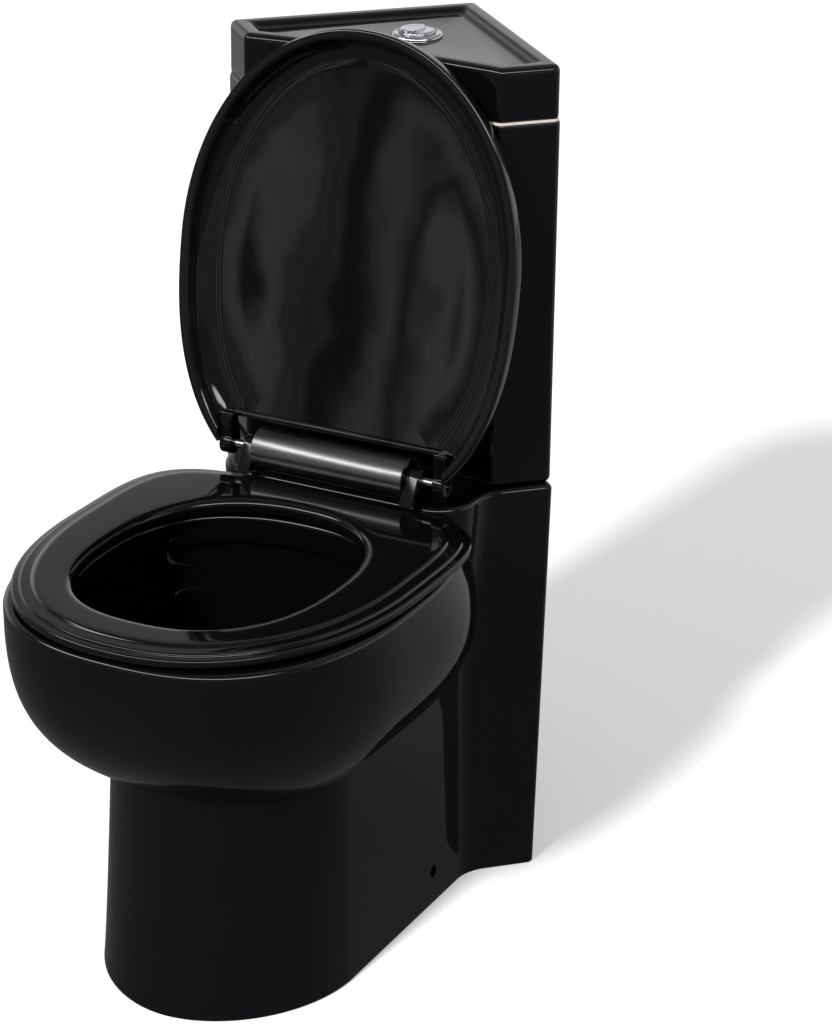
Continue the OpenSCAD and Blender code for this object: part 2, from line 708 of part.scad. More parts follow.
// a wing nut: a round hub with two flat wings, its top face at the origin
wing_t = 3;
module wing_nut(hub_r, hub_t, span, bore_r) {
    translate([0, 0, -hub_t]) difference() {
        union() {
            cylinder(r = hub_r, h = hub_t);
            translate([-span / 2, -wing_t / 2, 0]) cube([span, wing_t, hub_t * 0.8]);
        }
        translate([0, 0, -1]) cylinder(r = bore_r, h = hub_t + 2);
    }
}
module hinge_wing_nuts() {
    color([0.85, 0.85, 0.82]) for (s = [-1, 1])
        translate([s * hinge_bolt_gap / 2, hinge_bolt_y, ledge_h - deck_t - hinge_washer_t])
            wing_nut(hinge_nut_r, hinge_nut_t, hinge_nut_span, hinge_bolt_r + pin_play);
}

// ---- dual flush button, clamped in the lid
bezel_t = 3;
bezel_hole_r = button_d / 2 + slide_play;
neck_l = tray_d + lid_t + 22;
button_top = tray_z + bezel_t + button_rise;
cap_button_t = 8;
rod_x = 8;
rod_back = 9;
rod_y = button_y - rod_back;
guide_t = 3;
guide_z = tray_z - neck_l + tray_d;
module button_bezel() {
    color([0.8, 0.8, 0.82]) translate([0, button_y, 0]) difference() {
        union() {
            translate([0, 0, tray_z]) cylinder(d1 = bezel_d, d2 = bezel_d - 2, h = bezel_t);
            translate([0, 0, guide_z]) cylinder(r = neck_r, h = tray_z - guide_z + 1);
        }
        translate([0, 0, guide_z + guide_t]) cylinder(r = bezel_hole_r, h = neck_l + 20);
        translate([0, 0, tray_z + 1.2]) cylinder(r1 = bezel_hole_r, r2 = bezel_d / 2 - 3, h = bezel_t);
        for (s = [-1, 1]) translate([s * rod_x, rod_y - button_y, guide_z - 1])
            cylinder(r = rod_d / 2 + pin_play, h = guide_t + 2);
    }
}
clamp_nut_t = 8;
module button_clamp_nut() {
    color([0.9, 0.9, 0.9]) translate([0, button_y, tray_z - lid_t - clamp_nut_t]) difference() {
        cylinder(r = neck_r + 7, h = clamp_nut_t);
        translate([0, 0, -1]) cylinder(r = neck_r + pin_play, h = clamp_nut_t + 2);
    }
}
// the round button is split by a crescent: the larger part gives the full flush
split_x = 5.5;
split_r = button_d * 0.62;
module button_split(grow) {
    translate([split_x - split_r, 0, -1]) cylinder(r = split_r + grow, h = cap_button_t + 4, $fn = 96);
}
module button_full() {
    color([0.85, 0.85, 0.87]) translate([0, button_y, button_top - cap_button_t]) intersection() {
        cylinder(r = button_d / 2, h = cap_button_t);
        button_split(-face_gap / 2);
    }
}
half_step = 1.5;
module button_half() {
    color([0.82, 0.82, 0.84]) translate([0, button_y, button_top - cap_button_t]) difference() {
        cylinder(r = button_d / 2, h = cap_button_t - half_step);
        button_split(face_gap / 2);
    }
}
// each push rod stands under its own button, held up by a spring round it
lever_drop = 92;
lever_z = tank_top - lever_drop;
lever_gap = 1.8;
arm_t = 3;
rod_head_r = 3.8;
arm_z = button_top - cap_button_t - arm_t;
lever_t = 5;
module push_rod(s) {
    z_low = lever_z + lever_t / 2 + lever_gap;
    translate([s * rod_x, rod_y, z_low]) cylinder(d = rod_d, h = arm_z - z_low + 1);
    translate([s * rod_x, rod_y, arm_z]) cylinder(r = rod_head_r, h = arm_t);
}
module full_push_rod() {
    color([0.92, 0.92, 0.9]) push_rod(-1);
}
module half_push_rod() {
    color([0.9, 0.3, 0.25]) push_rod(1);
}
spring_wall = 0.8;
spring_r = rod_d / 2 + 2 * spring_wall;
module button_spring(s) {
    color([0.6, 0.6, 0.62]) translate([s * rod_x, rod_y, guide_z + guide_t]) difference() {
        cylinder(r = spring_r, h = arm_z - guide_z - guide_t);
        translate([0, 0, -1]) cylinder(r = spring_r - spring_wall, h = neck_l + 20);
    }
}
module full_button_spring() {
    button_spring(-1);
}
module half_button_spring() {
    button_spring(1);
}

// ---- flush valve: a basket on the cistern floor, with a core that lifts
core_r = 12;
core_play = 0.6;
basket_r = flush_d / 2 + 7;
basket_t = 3;
strut_t = 5;
strut_w = 6;
seat_ring_z = tank_in + basket_t;
head_drop = 36;
head_z = lever_z - head_drop;
head_t = 10;
pin_fwd = 12;             // from the push rods back to the lever pin
lever_pin_y = rod_y + pin_fwd;
lever_pin_r = 2;
post_x = 22;
post_w = 5;
post_d = 10;
post_over = 6;
tail_t = 3.4;
tail_l = recess_d + tank_floor_t + 4;
tail_r = flush_d / 2 - 0.6;
module flush_valve_body() {
    color([0.9, 0.9, 0.88]) translate([0, flush_y, 0]) {
        difference() {
            union() {
                translate([0, 0, tank_in]) cylinder(r = basket_r, h = basket_t);
                translate([0, 0, tank_in - tail_l]) cylinder(r = tail_r, h = tail_l + 1);
            }
            translate([0, 0, tank_in - tail_l - cut])
                cylinder(r = tail_r - tail_t, h = tail_l + basket_t + 2 * cut);
        }
        for (a = [45:90:315]) rotate(a) translate([basket_r - strut_t, -strut_w / 2, tank_in + basket_t - 1])
            cube([strut_t, strut_w, head_z - seat_ring_z + 2]);
        difference() {
            translate([0, 0, head_z]) cylinder(r = basket_r, h = head_t);
            translate([0, 0, head_z - 1]) cylinder(r = core_r + core_play, h = head_t + 2);
        }
    }
    color([0.9, 0.9, 0.88]) for (s = [-1, 1])
        translate([s * post_x - post_w / 2, lever_pin_y - post_d / 2, head_z + head_t - 1]) difference() {
            cube([post_w, post_d, lever_z - head_z - head_t + 1 + post_over]);
            translate([-cut, post_d / 2, lever_z - head_z - head_t + 1]) rotate([0, 90, 0])
                cylinder(r = lever_pin_r + pin_play, h = post_w + 2 * cut);
        }
}
core_over = 30;
core_top = lever_z + core_over;
core_t = 2;
seal_t = 4;
seal_z = seat_ring_z + face_gap;
seal_r = flush_d / 2 + 1.5;
seal_hub_r = core_r + 6;
disc_t = 4;
ear_gap = 1.5;
ear_z = lever_z + lever_t / 2 + ear_gap;
ear_in = 13;
ear_out = 19.5;
ear_t = 4;
ear_d = 6;
module flush_valve_core() {
    color([0.25, 0.45, 0.75]) translate([0, flush_y, 0]) difference() {
        union() {
            translate([0, 0, seal_z + seal_t]) cylinder(r = core_r, h = core_top - seal_z - seal_t);
            translate([0, 0, seal_z + seal_t]) cylinder(r = seal_r, h = disc_t);
            translate([0, 0, seal_z - 2]) cylinder(r = seal_hub_r, h = seal_t + 3);
            translate([-ear_out, -ear_d / 2, ear_z]) cube([ear_out, ear_d, ear_t]);
        }
        translate([0, 0, seal_z - 2 - cut]) cylinder(r = core_r - core_t, h = core_top);
    }
}
module flush_seal() {
    color([0.7, 0.2, 0.15]) translate([0, flush_y, seal_z]) difference() {
        cylinder(r = seal_r, h = seal_t);
        translate([0, 0, -cut]) cylinder(r = seal_hub_r, h = seal_t + 2 * cut);
    }
}
sleeve_r = core_r + core_play;
sleeve_wall = 2.2;
sleeve_l = 14;
sleeve_z = head_z + head_t + face_gap;
bar_fwd = 2.5;
module half_flush_sleeve() {
    color([0.85, 0.85, 0.3]) translate([0, flush_y, 0]) difference() {
        union() {
            translate([0, 0, sleeve_z]) cylinder(r = sleeve_r + sleeve_wall, h = sleeve_l);
            translate([ear_in, bar_fwd, sleeve_z]) cube([ear_out - ear_in, ear_d, ear_z + ear_t - sleeve_z]);
            translate([ear_in, -ear_d / 2, ear_z]) cube([ear_out - ear_in, ear_d, ear_t]);
        }
        translate([0, 0, head_z]) cylinder(r = sleeve_r, h = core_top - head_z);
    }
}
// a lever: rocks on the pin, pushed down in front, lifting its fork behind
lever_x = 17;
lever_w = 4;
lever_back = 19.5;        // from the pin to the end of the fork
pad_w = 13;
pad_l = 9;
pad_out = 15;             // from the pin to the front of the pad
lever_boss_r = 4.5;
module lift_lever(s) {
    translate([s * lever_x, lever_pin_y, lever_z]) difference() {
        union() {
            translate([-lever_w / 2, pad_l - pad_out - 1, -lever_t / 2])
                cube([lever_w, lever_back + pad_out - pad_l + 1, lever_t]);
            translate([s > 0 ? -pad_w : 0, -pad_out, -lever_t / 2]) cube([pad_w, pad_l, lever_t]);
            translate([-lever_w / 2, 0, 0]) rotate([0, 90, 0]) cylinder(r = lever_boss_r, h = lever_w);
        }
        translate([-lever_w / 2 - cut, 0, 0]) rotate([0, 90, 0])
            cylinder(r = lever_pin_r + pin_play, h = lever_w + 2 * cut);
    }
}
module full_lift_lever() {
    color([0.92, 0.92, 0.9]) lift_lever(-1);
}
module half_lift_lever() {
    color([0.9, 0.3, 0.25]) lift_lever(1);
}
module lever_pin() {
    half = post_x + post_w / 2 + 1.5;
    color([0.75, 0.75, 0.77]) translate([-half, lever_pin_y, lever_z]) rotate([0, 90, 0])
        cylinder(r = lever_pin_r, h = 2 * half);
}
valve_nut_t = 14;
valve_nut_r = flush_d / 2 + 8;
module flush_valve_nut() {
    color([0.92, 0.92, 0.9]) translate([0, flush_y, ledge_h - valve_nut_t]) difference() {
        cylinder(r = valve_nut_r, h = valve_nut_t);
        translate([0, 0, -cut]) cylinder(r = tail_r + pin_play, h = valve_nut_t + 2 * cut);
    }
}
module coupling_gasket() {
    color([0.1, 0.1, 0.1]) translate([0, flush_y, ledge_h - recess_d]) difference() {
        cylinder(r = recess_r - 1, h = recess_d);
        translate([0, 0, -cut]) cylinder(r = flush_d / 2 + face_gap, h = recess_d);
        translate([0, 0, recess_d - valve_nut_t - face_gap])
            cylinder(r = valve_nut_r + face_gap, h = valve_nut_t + 1);
    }
}

// ---- bolts that hold the cistern down on the ledge
bolt_out = 26;            // length of each bolt below the ledge
bolt_low = ledge_h - deck_t - bolt_out;
bolt_head_r = 9;
bolt_head_t = 5;
seal_disc_r = 13;
seal_disc_t = 4;
washer_r = 12;
washer_t = 3;
wing_hub_r = 8;
wing_hub_t = 11;
wing_span = 28;
module at_coupling_bolts(z) {
    for (s = [-1, 1]) translate([s * bolt_x, bolt_y, z]) children();
}
module washer(r, t, bore_r) {
    difference() {
        cylinder(r = r, h = t);
        translate([0, 0, -cut]) cylinder(r = bore_r, h = t + 2 * cut);
    }
}
module coupling_bolts() {
    color([0.8, 0.66, 0.3]) at_coupling_bolts(bolt_low) {
        l = tank_in + seal_disc_t - bolt_low;
        cylinder(r = bolt_r, h = l + 1);
        translate([0, 0, l]) cylinder(r = bolt_head_r, h = bolt_head_t, $fn = 6);
    }
}
module coupling_bolt_seals() {
    color([0.1, 0.1, 0.1]) at_coupling_bolts(tank_in) washer(seal_disc_r, seal_disc_t, bolt_r + pin_play);
}
module coupling_washers() {
    color([0.1, 0.1, 0.1]) at_coupling_bolts(ledge_h - deck_t - washer_t)
        washer(washer_r, washer_t, bolt_r + pin_play);
}
module coupling_wing_nuts() {
    color([0.85, 0.85, 0.82]) at_coupling_bolts(ledge_h - deck_t - washer_t)
        wing_nut(wing_hub_r, wing_hub_t, wing_span, bolt_r + pin_play);
}

// ---- fill valve: a threaded tail through the floor, a column, a head and a float
column_r = 11;
head_base_drop = 100;
head_base = tank_top - head_base_drop;
fill_head_t = 30;
fill_head_r = 16;
float_h = 44;
float_rise = 15;
float_r = 25;
float_over = 6;           // gap left between the float and the head when the float is up
// the float rests on a collar when the cistern is dry
float_low = head_base - float_rise - float_h - float_over;
shank_r = inlet_d / 2 + 0.5;      // the thread inside the nut and the floor is a size up from the tail
fill_nut_r = 17;
fill_nut_t = 9;
fill_seal_r = inlet_hole_r + 5;
fill_seal_t = 3;
fill_seat_z = tank_in + fill_seal_t;
collar_r = column_r + 5;
collar_t = 4;
fill_flange_t = 4;
module fill_valve() {
    color([0.9, 0.9, 0.88]) translate([fill_x, fill_y, 0]) {
        translate([0, 0, ledge_h - inlet_l]) cylinder(d = inlet_d, h = inlet_l);
        translate([0, 0, ledge_h - fill_nut_t])
            cylinder(r = shank_r, h = fill_seat_z - ledge_h + fill_nut_t);
        translate([0, 0, fill_seat_z]) cylinder(r = fill_seal_r, h = fill_flange_t);
        translate([0, 0, fill_seat_z]) cylinder(r = column_r, h = head_base - fill_seat_z);
        translate([0, 0, float_low - collar_t]) cylinder(r = collar_r, h = collar_t);
    }
}
fork_x = 13;              // from the middle of the head to its fork
fork_l = 8;
fork_w = 16;
fork_h = 14;
slot_w = 6;
arm_pin_r = 2;
arm_pin_l = fork_w + 2;
arm_x = fork_x + fork_l / 2;
arm_up = 8;
arm_z0 = head_base + arm_up;
arm_l = 34;
float_arm_w = 5;
float_arm_t = 4;
link_w = 8;
link_t = 6;
arm_gap = 3;              // from the top of the float's link to the arm
module fill_valve_head() {
    color([0.25, 0.45, 0.75]) translate([fill_x, fill_y, head_base]) difference() {
        union() {
            cylinder(r = fill_head_r, h = fill_head_t);
            translate([fork_x, -fork_w / 2, 0]) cube([fork_l, fork_w, fork_h]);
        }
        translate([fork_x - 1, -slot_w / 2, -cut]) cube([fork_l + 4, slot_w, fork_h + 2 * cut]);
        translate([arm_x, -arm_pin_l / 2, arm_up]) rotate([-90, 0, 0])
            cylinder(r = arm_pin_r + pin_play, h = arm_pin_l);
    }
}
module arm_pin() {
    color([0.75, 0.75, 0.77]) translate([fill_x + arm_x, fill_y - arm_pin_l / 2, arm_z0])
        rotate([-90, 0, 0]) cylinder(r = arm_pin_r, h = arm_pin_l);
}
module float_arm() {
    color([0.92, 0.92, 0.9]) translate([fill_x + arm_x, fill_y, arm_z0]) difference() {
        union() {
            translate([0, float_arm_w / 2, 0]) rotate([90, 0, 0]) cylinder(r = float_arm_t, h = float_arm_w);
            translate([0, -float_arm_w / 2, -float_arm_t / 2]) cube([arm_l, float_arm_w, float_arm_t]);
        }
        translate([0, float_arm_w / 2 + cut, 0]) rotate([90, 0, 0])
            cylinder(r = arm_pin_r + pin_play, h = float_arm_w + 2 * cut);
    }
}
module fill_float() {
    link_x = arm_x + arm_l - link_t;
    color([0.3, 0.3, 0.33]) translate([fill_x, fill_y, float_low]) difference() {
        union() {
            cylinder(r = float_r, h = float_h);
            translate([float_r - 3, -link_w / 2, float_h - link_w])
                cube([link_x + link_t / 2 + 3 - float_r, link_w, link_w]);
            translate([link_x - link_t / 2, -link_w / 2, float_h - link_w])
                cube([link_t, link_w, arm_z0 - float_low - float_h + link_w - float_arm_t / 2 - arm_gap]);
        }
        translate([0, 0, -cut]) cylinder(r = column_r + slide_play, h = float_h + 2 * cut);
    }
}
module fill_valve_washer() {
    color([0.1, 0.1, 0.1]) translate([fill_x, fill_y, tank_in])
        washer(fill_seal_r, fill_seal_t, shank_r + pin_play);
}
module fill_valve_nut() {
    color([0.92, 0.92, 0.9]) translate([fill_x, fill_y, ledge_h - fill_nut_t]) difference() {
        cylinder(r = fill_nut_r, h = fill_nut_t, $fn = 6);
        translate([0, 0, -cut]) cylinder(r = shank_r + pin_play, h = fill_nut_t + 2 * cut);
    }
}

pan();
cistern();
cistern_lid();
seat_ring();
ring_hinge_blocks();
ring_buffers();
seat_cover();
cover_hinge_blocks();
hinge_barrel();
hinge_carrier();
hinge_end_caps();
hinge_dampers();
hinge_pins();
hinge_bolts();
hinge_washers();
hinge_wing_nuts();
button_bezel();
button_clamp_nut();
button_full();
button_half();
full_push_rod();
half_push_rod();
full_button_spring();
half_button_spring();
flush_valve_body();
flush_valve_core();
flush_seal();
half_flush_sleeve();
full_lift_lever();
half_lift_lever();
lever_pin();
flush_valve_nut();
coupling_gasket();
coupling_bolts();
coupling_bolt_seals();
coupling_washers();
coupling_wing_nuts();
fill_valve();
fill_valve_head();
fill_float();
float_arm();
arm_pin();
fill_valve_washer();
fill_valve_nut();
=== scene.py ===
import json
import math

import bmesh
import bpy
import numpy as np
from mathutils import Matrix, Vector


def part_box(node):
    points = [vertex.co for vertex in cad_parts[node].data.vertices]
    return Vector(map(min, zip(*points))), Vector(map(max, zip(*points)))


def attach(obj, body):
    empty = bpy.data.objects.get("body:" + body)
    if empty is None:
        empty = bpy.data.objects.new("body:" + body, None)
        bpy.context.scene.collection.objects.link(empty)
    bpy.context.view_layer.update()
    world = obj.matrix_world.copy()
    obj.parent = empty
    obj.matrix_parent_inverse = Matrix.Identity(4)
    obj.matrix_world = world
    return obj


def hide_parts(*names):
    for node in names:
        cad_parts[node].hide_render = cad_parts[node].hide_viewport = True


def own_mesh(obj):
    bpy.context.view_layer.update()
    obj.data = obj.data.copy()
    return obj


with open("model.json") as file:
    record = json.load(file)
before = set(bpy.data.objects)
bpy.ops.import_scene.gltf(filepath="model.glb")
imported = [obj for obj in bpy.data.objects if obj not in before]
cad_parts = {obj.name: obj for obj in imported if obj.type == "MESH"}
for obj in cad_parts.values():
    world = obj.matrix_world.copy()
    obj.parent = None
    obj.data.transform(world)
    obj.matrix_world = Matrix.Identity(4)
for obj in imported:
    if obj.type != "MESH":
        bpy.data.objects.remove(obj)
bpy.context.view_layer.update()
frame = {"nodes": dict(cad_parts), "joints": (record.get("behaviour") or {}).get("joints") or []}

MM = 0.001


# ---------------------------------------------------------------- camera and studio
# A plain pale floor, one soft key lamp from the front that throws the long shadow towards
# the room corner, and an even fill. The camera stands at the photograph's place.
def linear(colour):
    """An sRGB hex colour as linear red, green, blue and alpha."""
    parts = [int(colour[i:i + 2], 16) / 255 for i in (1, 3, 5)]
    return [c / 12.92 if c <= 0.04045 else ((c + 0.055) / 1.055) ** 2.4 for c in parts] + [1.0]


def add(tree, kind, settings=(), links=()):
    """Adds one node to a node tree, with its settings by name and its links by socket."""
    made = tree.nodes.new(kind)
    for name, value in dict(settings).items():
        if isinstance(name, int) or name in made.inputs:
            made.inputs[name].default_value = value
        else:
            setattr(made, name, value)
    for name, socket in dict(links).items():
        tree.links.new(socket, made.inputs[name])
    return made


camera_place = Vector((1346.2, -2386.3, 1546.7)) * MM
camera_turn, camera_tilt, camera_roll = (math.radians(a) for a in (29.627, 22.574, -0.223))
focal_px, centre_px = 3278.15, (290.05, 495.61)
frame_px = (832, 1024)
look = Vector((-math.sin(camera_turn) * math.cos(camera_tilt),
               math.cos(camera_turn) * math.cos(camera_tilt), -math.sin(camera_tilt)))
bpy.ops.object.camera_add(location=camera_place)
camera = bpy.context.object
camera.name = "camera"
aim = look.to_track_quat("-Z", "Y") @ Matrix.Rotation(camera_roll, 3, "Z").to_quaternion()
camera.rotation_euler = aim.to_euler()
camera.data.lens = focal_px * camera.data.sensor_width / frame_px[1]
camera.data.shift_x = (frame_px[0] / 2 - centre_px[0]) / frame_px[1]
camera.data.shift_y = (centre_px[1] - frame_px[1] / 2) / frame_px[1]
camera.data.clip_end = 60
bpy.context.scene.camera = camera
bpy.context.scene.view_settings.view_transform = "Standard"

# the floor is pale and keeps the shadow; mirrored in the glaze it is as dim as the room is
paper_width = 9
bpy.ops.mesh.primitive_plane_add(size=paper_width)
floor = bpy.context.object
floor.name = "floor"
floor_paper = bpy.data.materials.new("white studio paper")
floor_paper.use_nodes = True
tree = floor_paper.node_tree
tree.nodes.clear()
ray = add(tree, "ShaderNodeLightPath")
paper = add(tree, "ShaderNodeBsdfDiffuse", {"Color": linear("#e6e6e6"), "Roughness": 0.6})
lift = add(tree, "ShaderNodeEmission", {"Color": linear("#ffffff"), "Strength": 0.33})
bright = add(tree, "ShaderNodeAddShader", links={0: paper.outputs[0], 1: lift.outputs[0]})
seen = add(tree, "ShaderNodeMixShader", links={
    "Fac": ray.outputs["Is Camera Ray"], 1: paper.outputs[0], 2: bright.outputs[0]})
place = add(tree, "ShaderNodeTexCoord")
axes = add(tree, "ShaderNodeSeparateXYZ", links={"Vector": place.outputs["Object"]})
far = add(tree, "ShaderNodeMapRange", {
    "interpolation_type": "SMOOTHSTEP", "From Min": 0.1, "From Max": 1.2,
    "To Min": 0.11, "To Max": 0.34}, {"Value": axes.outputs["Y"]})
mirrored = add(tree, "ShaderNodeEmission", {"Color": linear("#ffffff")},
               {"Strength": far.outputs[0]})
both = add(tree, "ShaderNodeMixShader", links={
    "Fac": ray.outputs["Is Glossy Ray"], 1: seen.outputs[0], 2: mirrored.outputs[0]})
# towards its edge the paper runs out into the white of the room
reach = add(tree, "ShaderNodeVectorMath", {"operation": "LENGTH"}, {0: place.outputs["Object"]})
edge = add(tree, "ShaderNodeMapRange", {
    "interpolation_type": "SMOOTHSTEP", "From Min": 1.8, "From Max": 4.3},
    {"Value": reach.outputs["Value"]})
faded = add(tree, "ShaderNodeMath", {"operation": "MULTIPLY"}, {
    0: edge.outputs[0], 1: ray.outputs["Is Camera Ray"]})
white = add(tree, "ShaderNodeEmission", {"Color": linear("#ffffff"), "Strength": 1.0})
whole = add(tree, "ShaderNodeMixShader", links={
    "Fac": faded.outputs[0], 1: both.outputs[0], 2: white.outputs[0]})
add(tree, "ShaderNodeOutputMaterial", links={"Surface": whole.outputs[0]})
floor.data.materials.append(floor_paper)

# the room, as gloss mirrors it: a white wall behind the object, a dim curtain in front of it
# that hangs in upright folds, and a long soft box at the height of the key lamp
key_way = Vector((0.075, 1.0, -0.67))
room = bpy.data.worlds.new("studio")
bpy.context.scene.world = room
room.use_nodes = True
tree = room.node_tree
tree.nodes.clear()
ray = add(tree, "ShaderNodeLightPath")
way = add(tree, "ShaderNodeTexCoord")
axes = add(tree, "ShaderNodeSeparateXYZ", links={"Vector": way.outputs["Generated"]})
wall = add(tree, "ShaderNodeMapRange", {
    "interpolation_type": "SMOOTHSTEP", "From Min": 0.26, "From Max": 0.40,
    "To Min": 0.8, "To Max": 0.34}, {"Value": axes.outputs["Z"]})
turn = add(tree, "ShaderNodeMath", {"operation": "ARCTAN2"}, {
    0: axes.outputs["X"], 1: axes.outputs["Y"]})
fold = add(tree, "ShaderNodeTexNoise", {
    "noise_dimensions": "1D", "Scale": 62.0, "Detail": 2.0, "Roughness": 0.5},
    {"W": turn.outputs[0]})
cloth = add(tree, "ShaderNodeMapRange", {
    "interpolation_type": "SMOOTHSTEP", "From Min": 0.42, "From Max": 0.66,
    "To Min": 0.02, "To Max": 0.66}, {"Value": fold.outputs["Fac"]})
low = add(tree, "ShaderNodeMapRange", {
    "interpolation_type": "SMOOTHSTEP", "From Min": 0.08, "From Max": 0.16},
    {"Value": axes.outputs["Z"]})
curtain = add(tree, "ShaderNodeMix", {"data_type": "FLOAT", 3: 0.14}, {
    0: low.outputs[0], 2: cloth.outputs[0]})
side = add(tree, "ShaderNodeMapRange", {
    "interpolation_type": "SMOOTHSTEP", "From Min": -0.1, "From Max": 0.35},
    {"Value": axes.outputs["Y"]})
mirror = add(tree, "ShaderNodeMix", {"data_type": "FLOAT"}, {
    0: side.outputs[0], 2: curtain.outputs[0], 3: wall.outputs[0]})
# the long soft box: bright near the key lamp's height, and only in front of the object
above = add(tree, "ShaderNodeMath", {"operation": "SUBTRACT", 1: -key_way.normalized().z}, {
    0: axes.outputs["Z"]})
off_strip = add(tree, "ShaderNodeMath", {"operation": "ABSOLUTE"}, {0: above.outputs[0]})
strip = add(tree, "ShaderNodeMapRange", {
    "interpolation_type": "SMOOTHSTEP", "From Min": 0.08, "From Max": 0.03, "To Max": 9.0},
    {"Value": off_strip.outputs[0]})
ahead = add(tree, "ShaderNodeMapRange", {
    "interpolation_type": "SMOOTHSTEP", "From Min": -0.1, "From Max": -0.4},
    {"Value": axes.outputs["Y"]})
soft_box = add(tree, "ShaderNodeMath", {"operation": "MULTIPLY"}, {
    0: strip.outputs[0], 1: ahead.outputs[0]})
mirror = add(tree, "ShaderNodeMath", {"operation": "ADD"}, {
    0: soft_box.outputs[0], 1: mirror.outputs[0]})
# matt surfaces get an even fill, gloss the room above, and the camera plain white
fill = 0.475
level = add(tree, "ShaderNodeMix", {"data_type": "FLOAT", 2: fill}, {
    0: ray.outputs["Is Glossy Ray"], 3: mirror.outputs[0]})
level = add(tree, "ShaderNodeMix", {"data_type": "FLOAT", 3: 1.0}, {
    0: ray.outputs["Is Camera Ray"], 2: level.outputs[0]})
glow = add(tree, "ShaderNodeBackground", {"Color": linear("#ffffff")},
           {"Strength": level.outputs[0]})
add(tree, "ShaderNodeOutputWorld", links={"Surface": glow.outputs[0]})

bpy.ops.object.light_add(type="SUN", location=(-0.4, -4, 3))
key = bpy.context.object
key.name = "key lamp"
key.data.energy = 2.5
key.data.angle = math.radians(6)
key.rotation_euler = key_way.to_track_quat("-Z", "Y").to_euler()
key.visible_glossy = False


# ---------------------------------------------------------------- pan
# One slip-cast vitreous china casting, glazed black: the egg-shaped bowl, the foot, the
# hinge deck and the rear box for the room corner. It is hollow and open behind and below.
def box_mm(name):
    """The two corners of a CAD node's box, in millimetres."""
    return [[round(value / MM, 3) for value in corner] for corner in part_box(name)]


def deselect():
    """Leaves edit mode and selects nothing."""
    if bpy.context.object and bpy.context.object.mode != "OBJECT":
        bpy.ops.object.mode_set(mode="OBJECT")
    bpy.ops.object.select_all(action="DESELECT")


def rings_up(name, rings, closed=False):
    """A skin over plan rings of equal counts, in millimetres, extruded ring by ring."""
    deselect()
    count = len(rings[0])
    bpy.ops.mesh.primitive_circle_add(vertices=count, fill_type="NOTHING", enter_editmode=True)
    piece = bpy.context.object
    piece.name = name
    mesh = bmesh.from_edit_mesh(piece.data)
    number = mesh.verts.layers.int.new("number")
    for i, vert in enumerate(mesh.verts):
        vert[number] = i
        vert.co = Vector(rings[0][i]) * MM
    bmesh.update_edit_mesh(piece.data)
    for ring in rings[1:]:
        bpy.ops.mesh.extrude_region_move()
        mesh = bmesh.from_edit_mesh(piece.data)
        number = mesh.verts.layers.int["number"]
        for vert in mesh.verts[-count:]:
            vert.co = Vector(ring[vert[number]]) * MM
        bmesh.update_edit_mesh(piece.data)
    mesh = bmesh.from_edit_mesh(piece.data)
    edge = [e for e in mesh.edges if e.is_boundary]
    bpy.ops.mesh.select_all(action="DESELECT")
    if closed:
        for e in edge:
            e.select = True
        bmesh.update_edit_mesh(piece.data)
        bpy.ops.mesh.bridge_edge_loops()
    else:
        for end in (mesh.verts[:count], mesh.verts[-count:]):
            mesh.faces.new(list(end))
        bmesh.update_edit_mesh(piece.data)
    bpy.ops.mesh.select_all(action="SELECT")
    bpy.ops.mesh.normals_make_consistent(inside=False)
    bpy.ops.object.mode_set(mode="OBJECT")
    piece.data.attributes.remove(piece.data.attributes["number"])
    return piece


def combine(piece, tool, how="DIFFERENCE"):
    """Cuts a tool out of a piece, or joins or crosses the two. The tool is used up."""
    deselect()
    bpy.context.view_layer.objects.active = piece
    step = piece.modifiers.new("step", "BOOLEAN")
    step.operation = how
    step.solver = "MANIFOLD"
    step.object = tool
    bpy.ops.object.modifier_apply(modifier=step.name)
    bpy.data.objects.remove(tool)
    return piece


def block(low, high, soften=0.0):
    """A box between two corners in millimetres, with its edges rounded."""
    deselect()
    low, high = Vector(low) * MM, Vector(high) * MM
    bpy.ops.mesh.primitive_cube_add(size=1, enter_editmode=True)
    for vert in bmesh.from_edit_mesh(bpy.context.object.data).verts:
        vert.co = Vector([low[i] if vert.co[i] < 0 else high[i] for i in range(3)])
    if soften:
        bpy.ops.mesh.bevel(offset=soften * MM, segments=3, affect="EDGES")
    bpy.ops.object.mode_set(mode="OBJECT")
    return bpy.context.object


def rod(place, radius, length, axis="Z", sides=64):
    """A cylinder from its base point, in millimetres, along one axis."""
    deselect()
    turned = {"Z": Matrix.Identity(3), "X": Matrix.Rotation(math.pi / 2, 3, "Y"),
              "Y": Matrix.Rotation(-math.pi / 2, 3, "X")}[axis]
    bpy.ops.mesh.primitive_cylinder_add(vertices=sides, radius=radius * MM, depth=length * MM)
    piece = bpy.context.object
    piece.data.transform(Matrix.Translation((0, 0, length * MM / 2)))
    piece.data.transform(turned.to_4x4())
    piece.data.transform(Matrix.Translation(Vector(place) * MM))
    return piece


def smooth(piece, angle=32):
    """Smooths a finished piece, and keeps the edges sharp that are sharper than the angle."""
    deselect()
    piece.select_set(True)
    bpy.context.view_layer.objects.active = piece
    bpy.ops.object.shade_smooth_by_angle(angle=math.radians(angle))


def spread(line, count):
    """A line of plan points as count points at even steps along it."""
    line = np.asarray(line, float)
    far_along = np.r_[0, np.cumsum(np.linalg.norm(np.diff(line, axis=0), axis=1))]
    steps = np.linspace(0, far_along[-1], count)
    return np.stack([np.interp(steps, far_along, line[:, i]) for i in range(2)], 1)


def mirrored_ring(half, z):
    """A closed ring at height z from its right half, which runs from front to rear."""
    half = np.asarray(half, float)
    whole = np.r_[half, half[-2:0:-1] * (-1, 1)]
    return np.c_[whole, np.full(len(whole), z)]


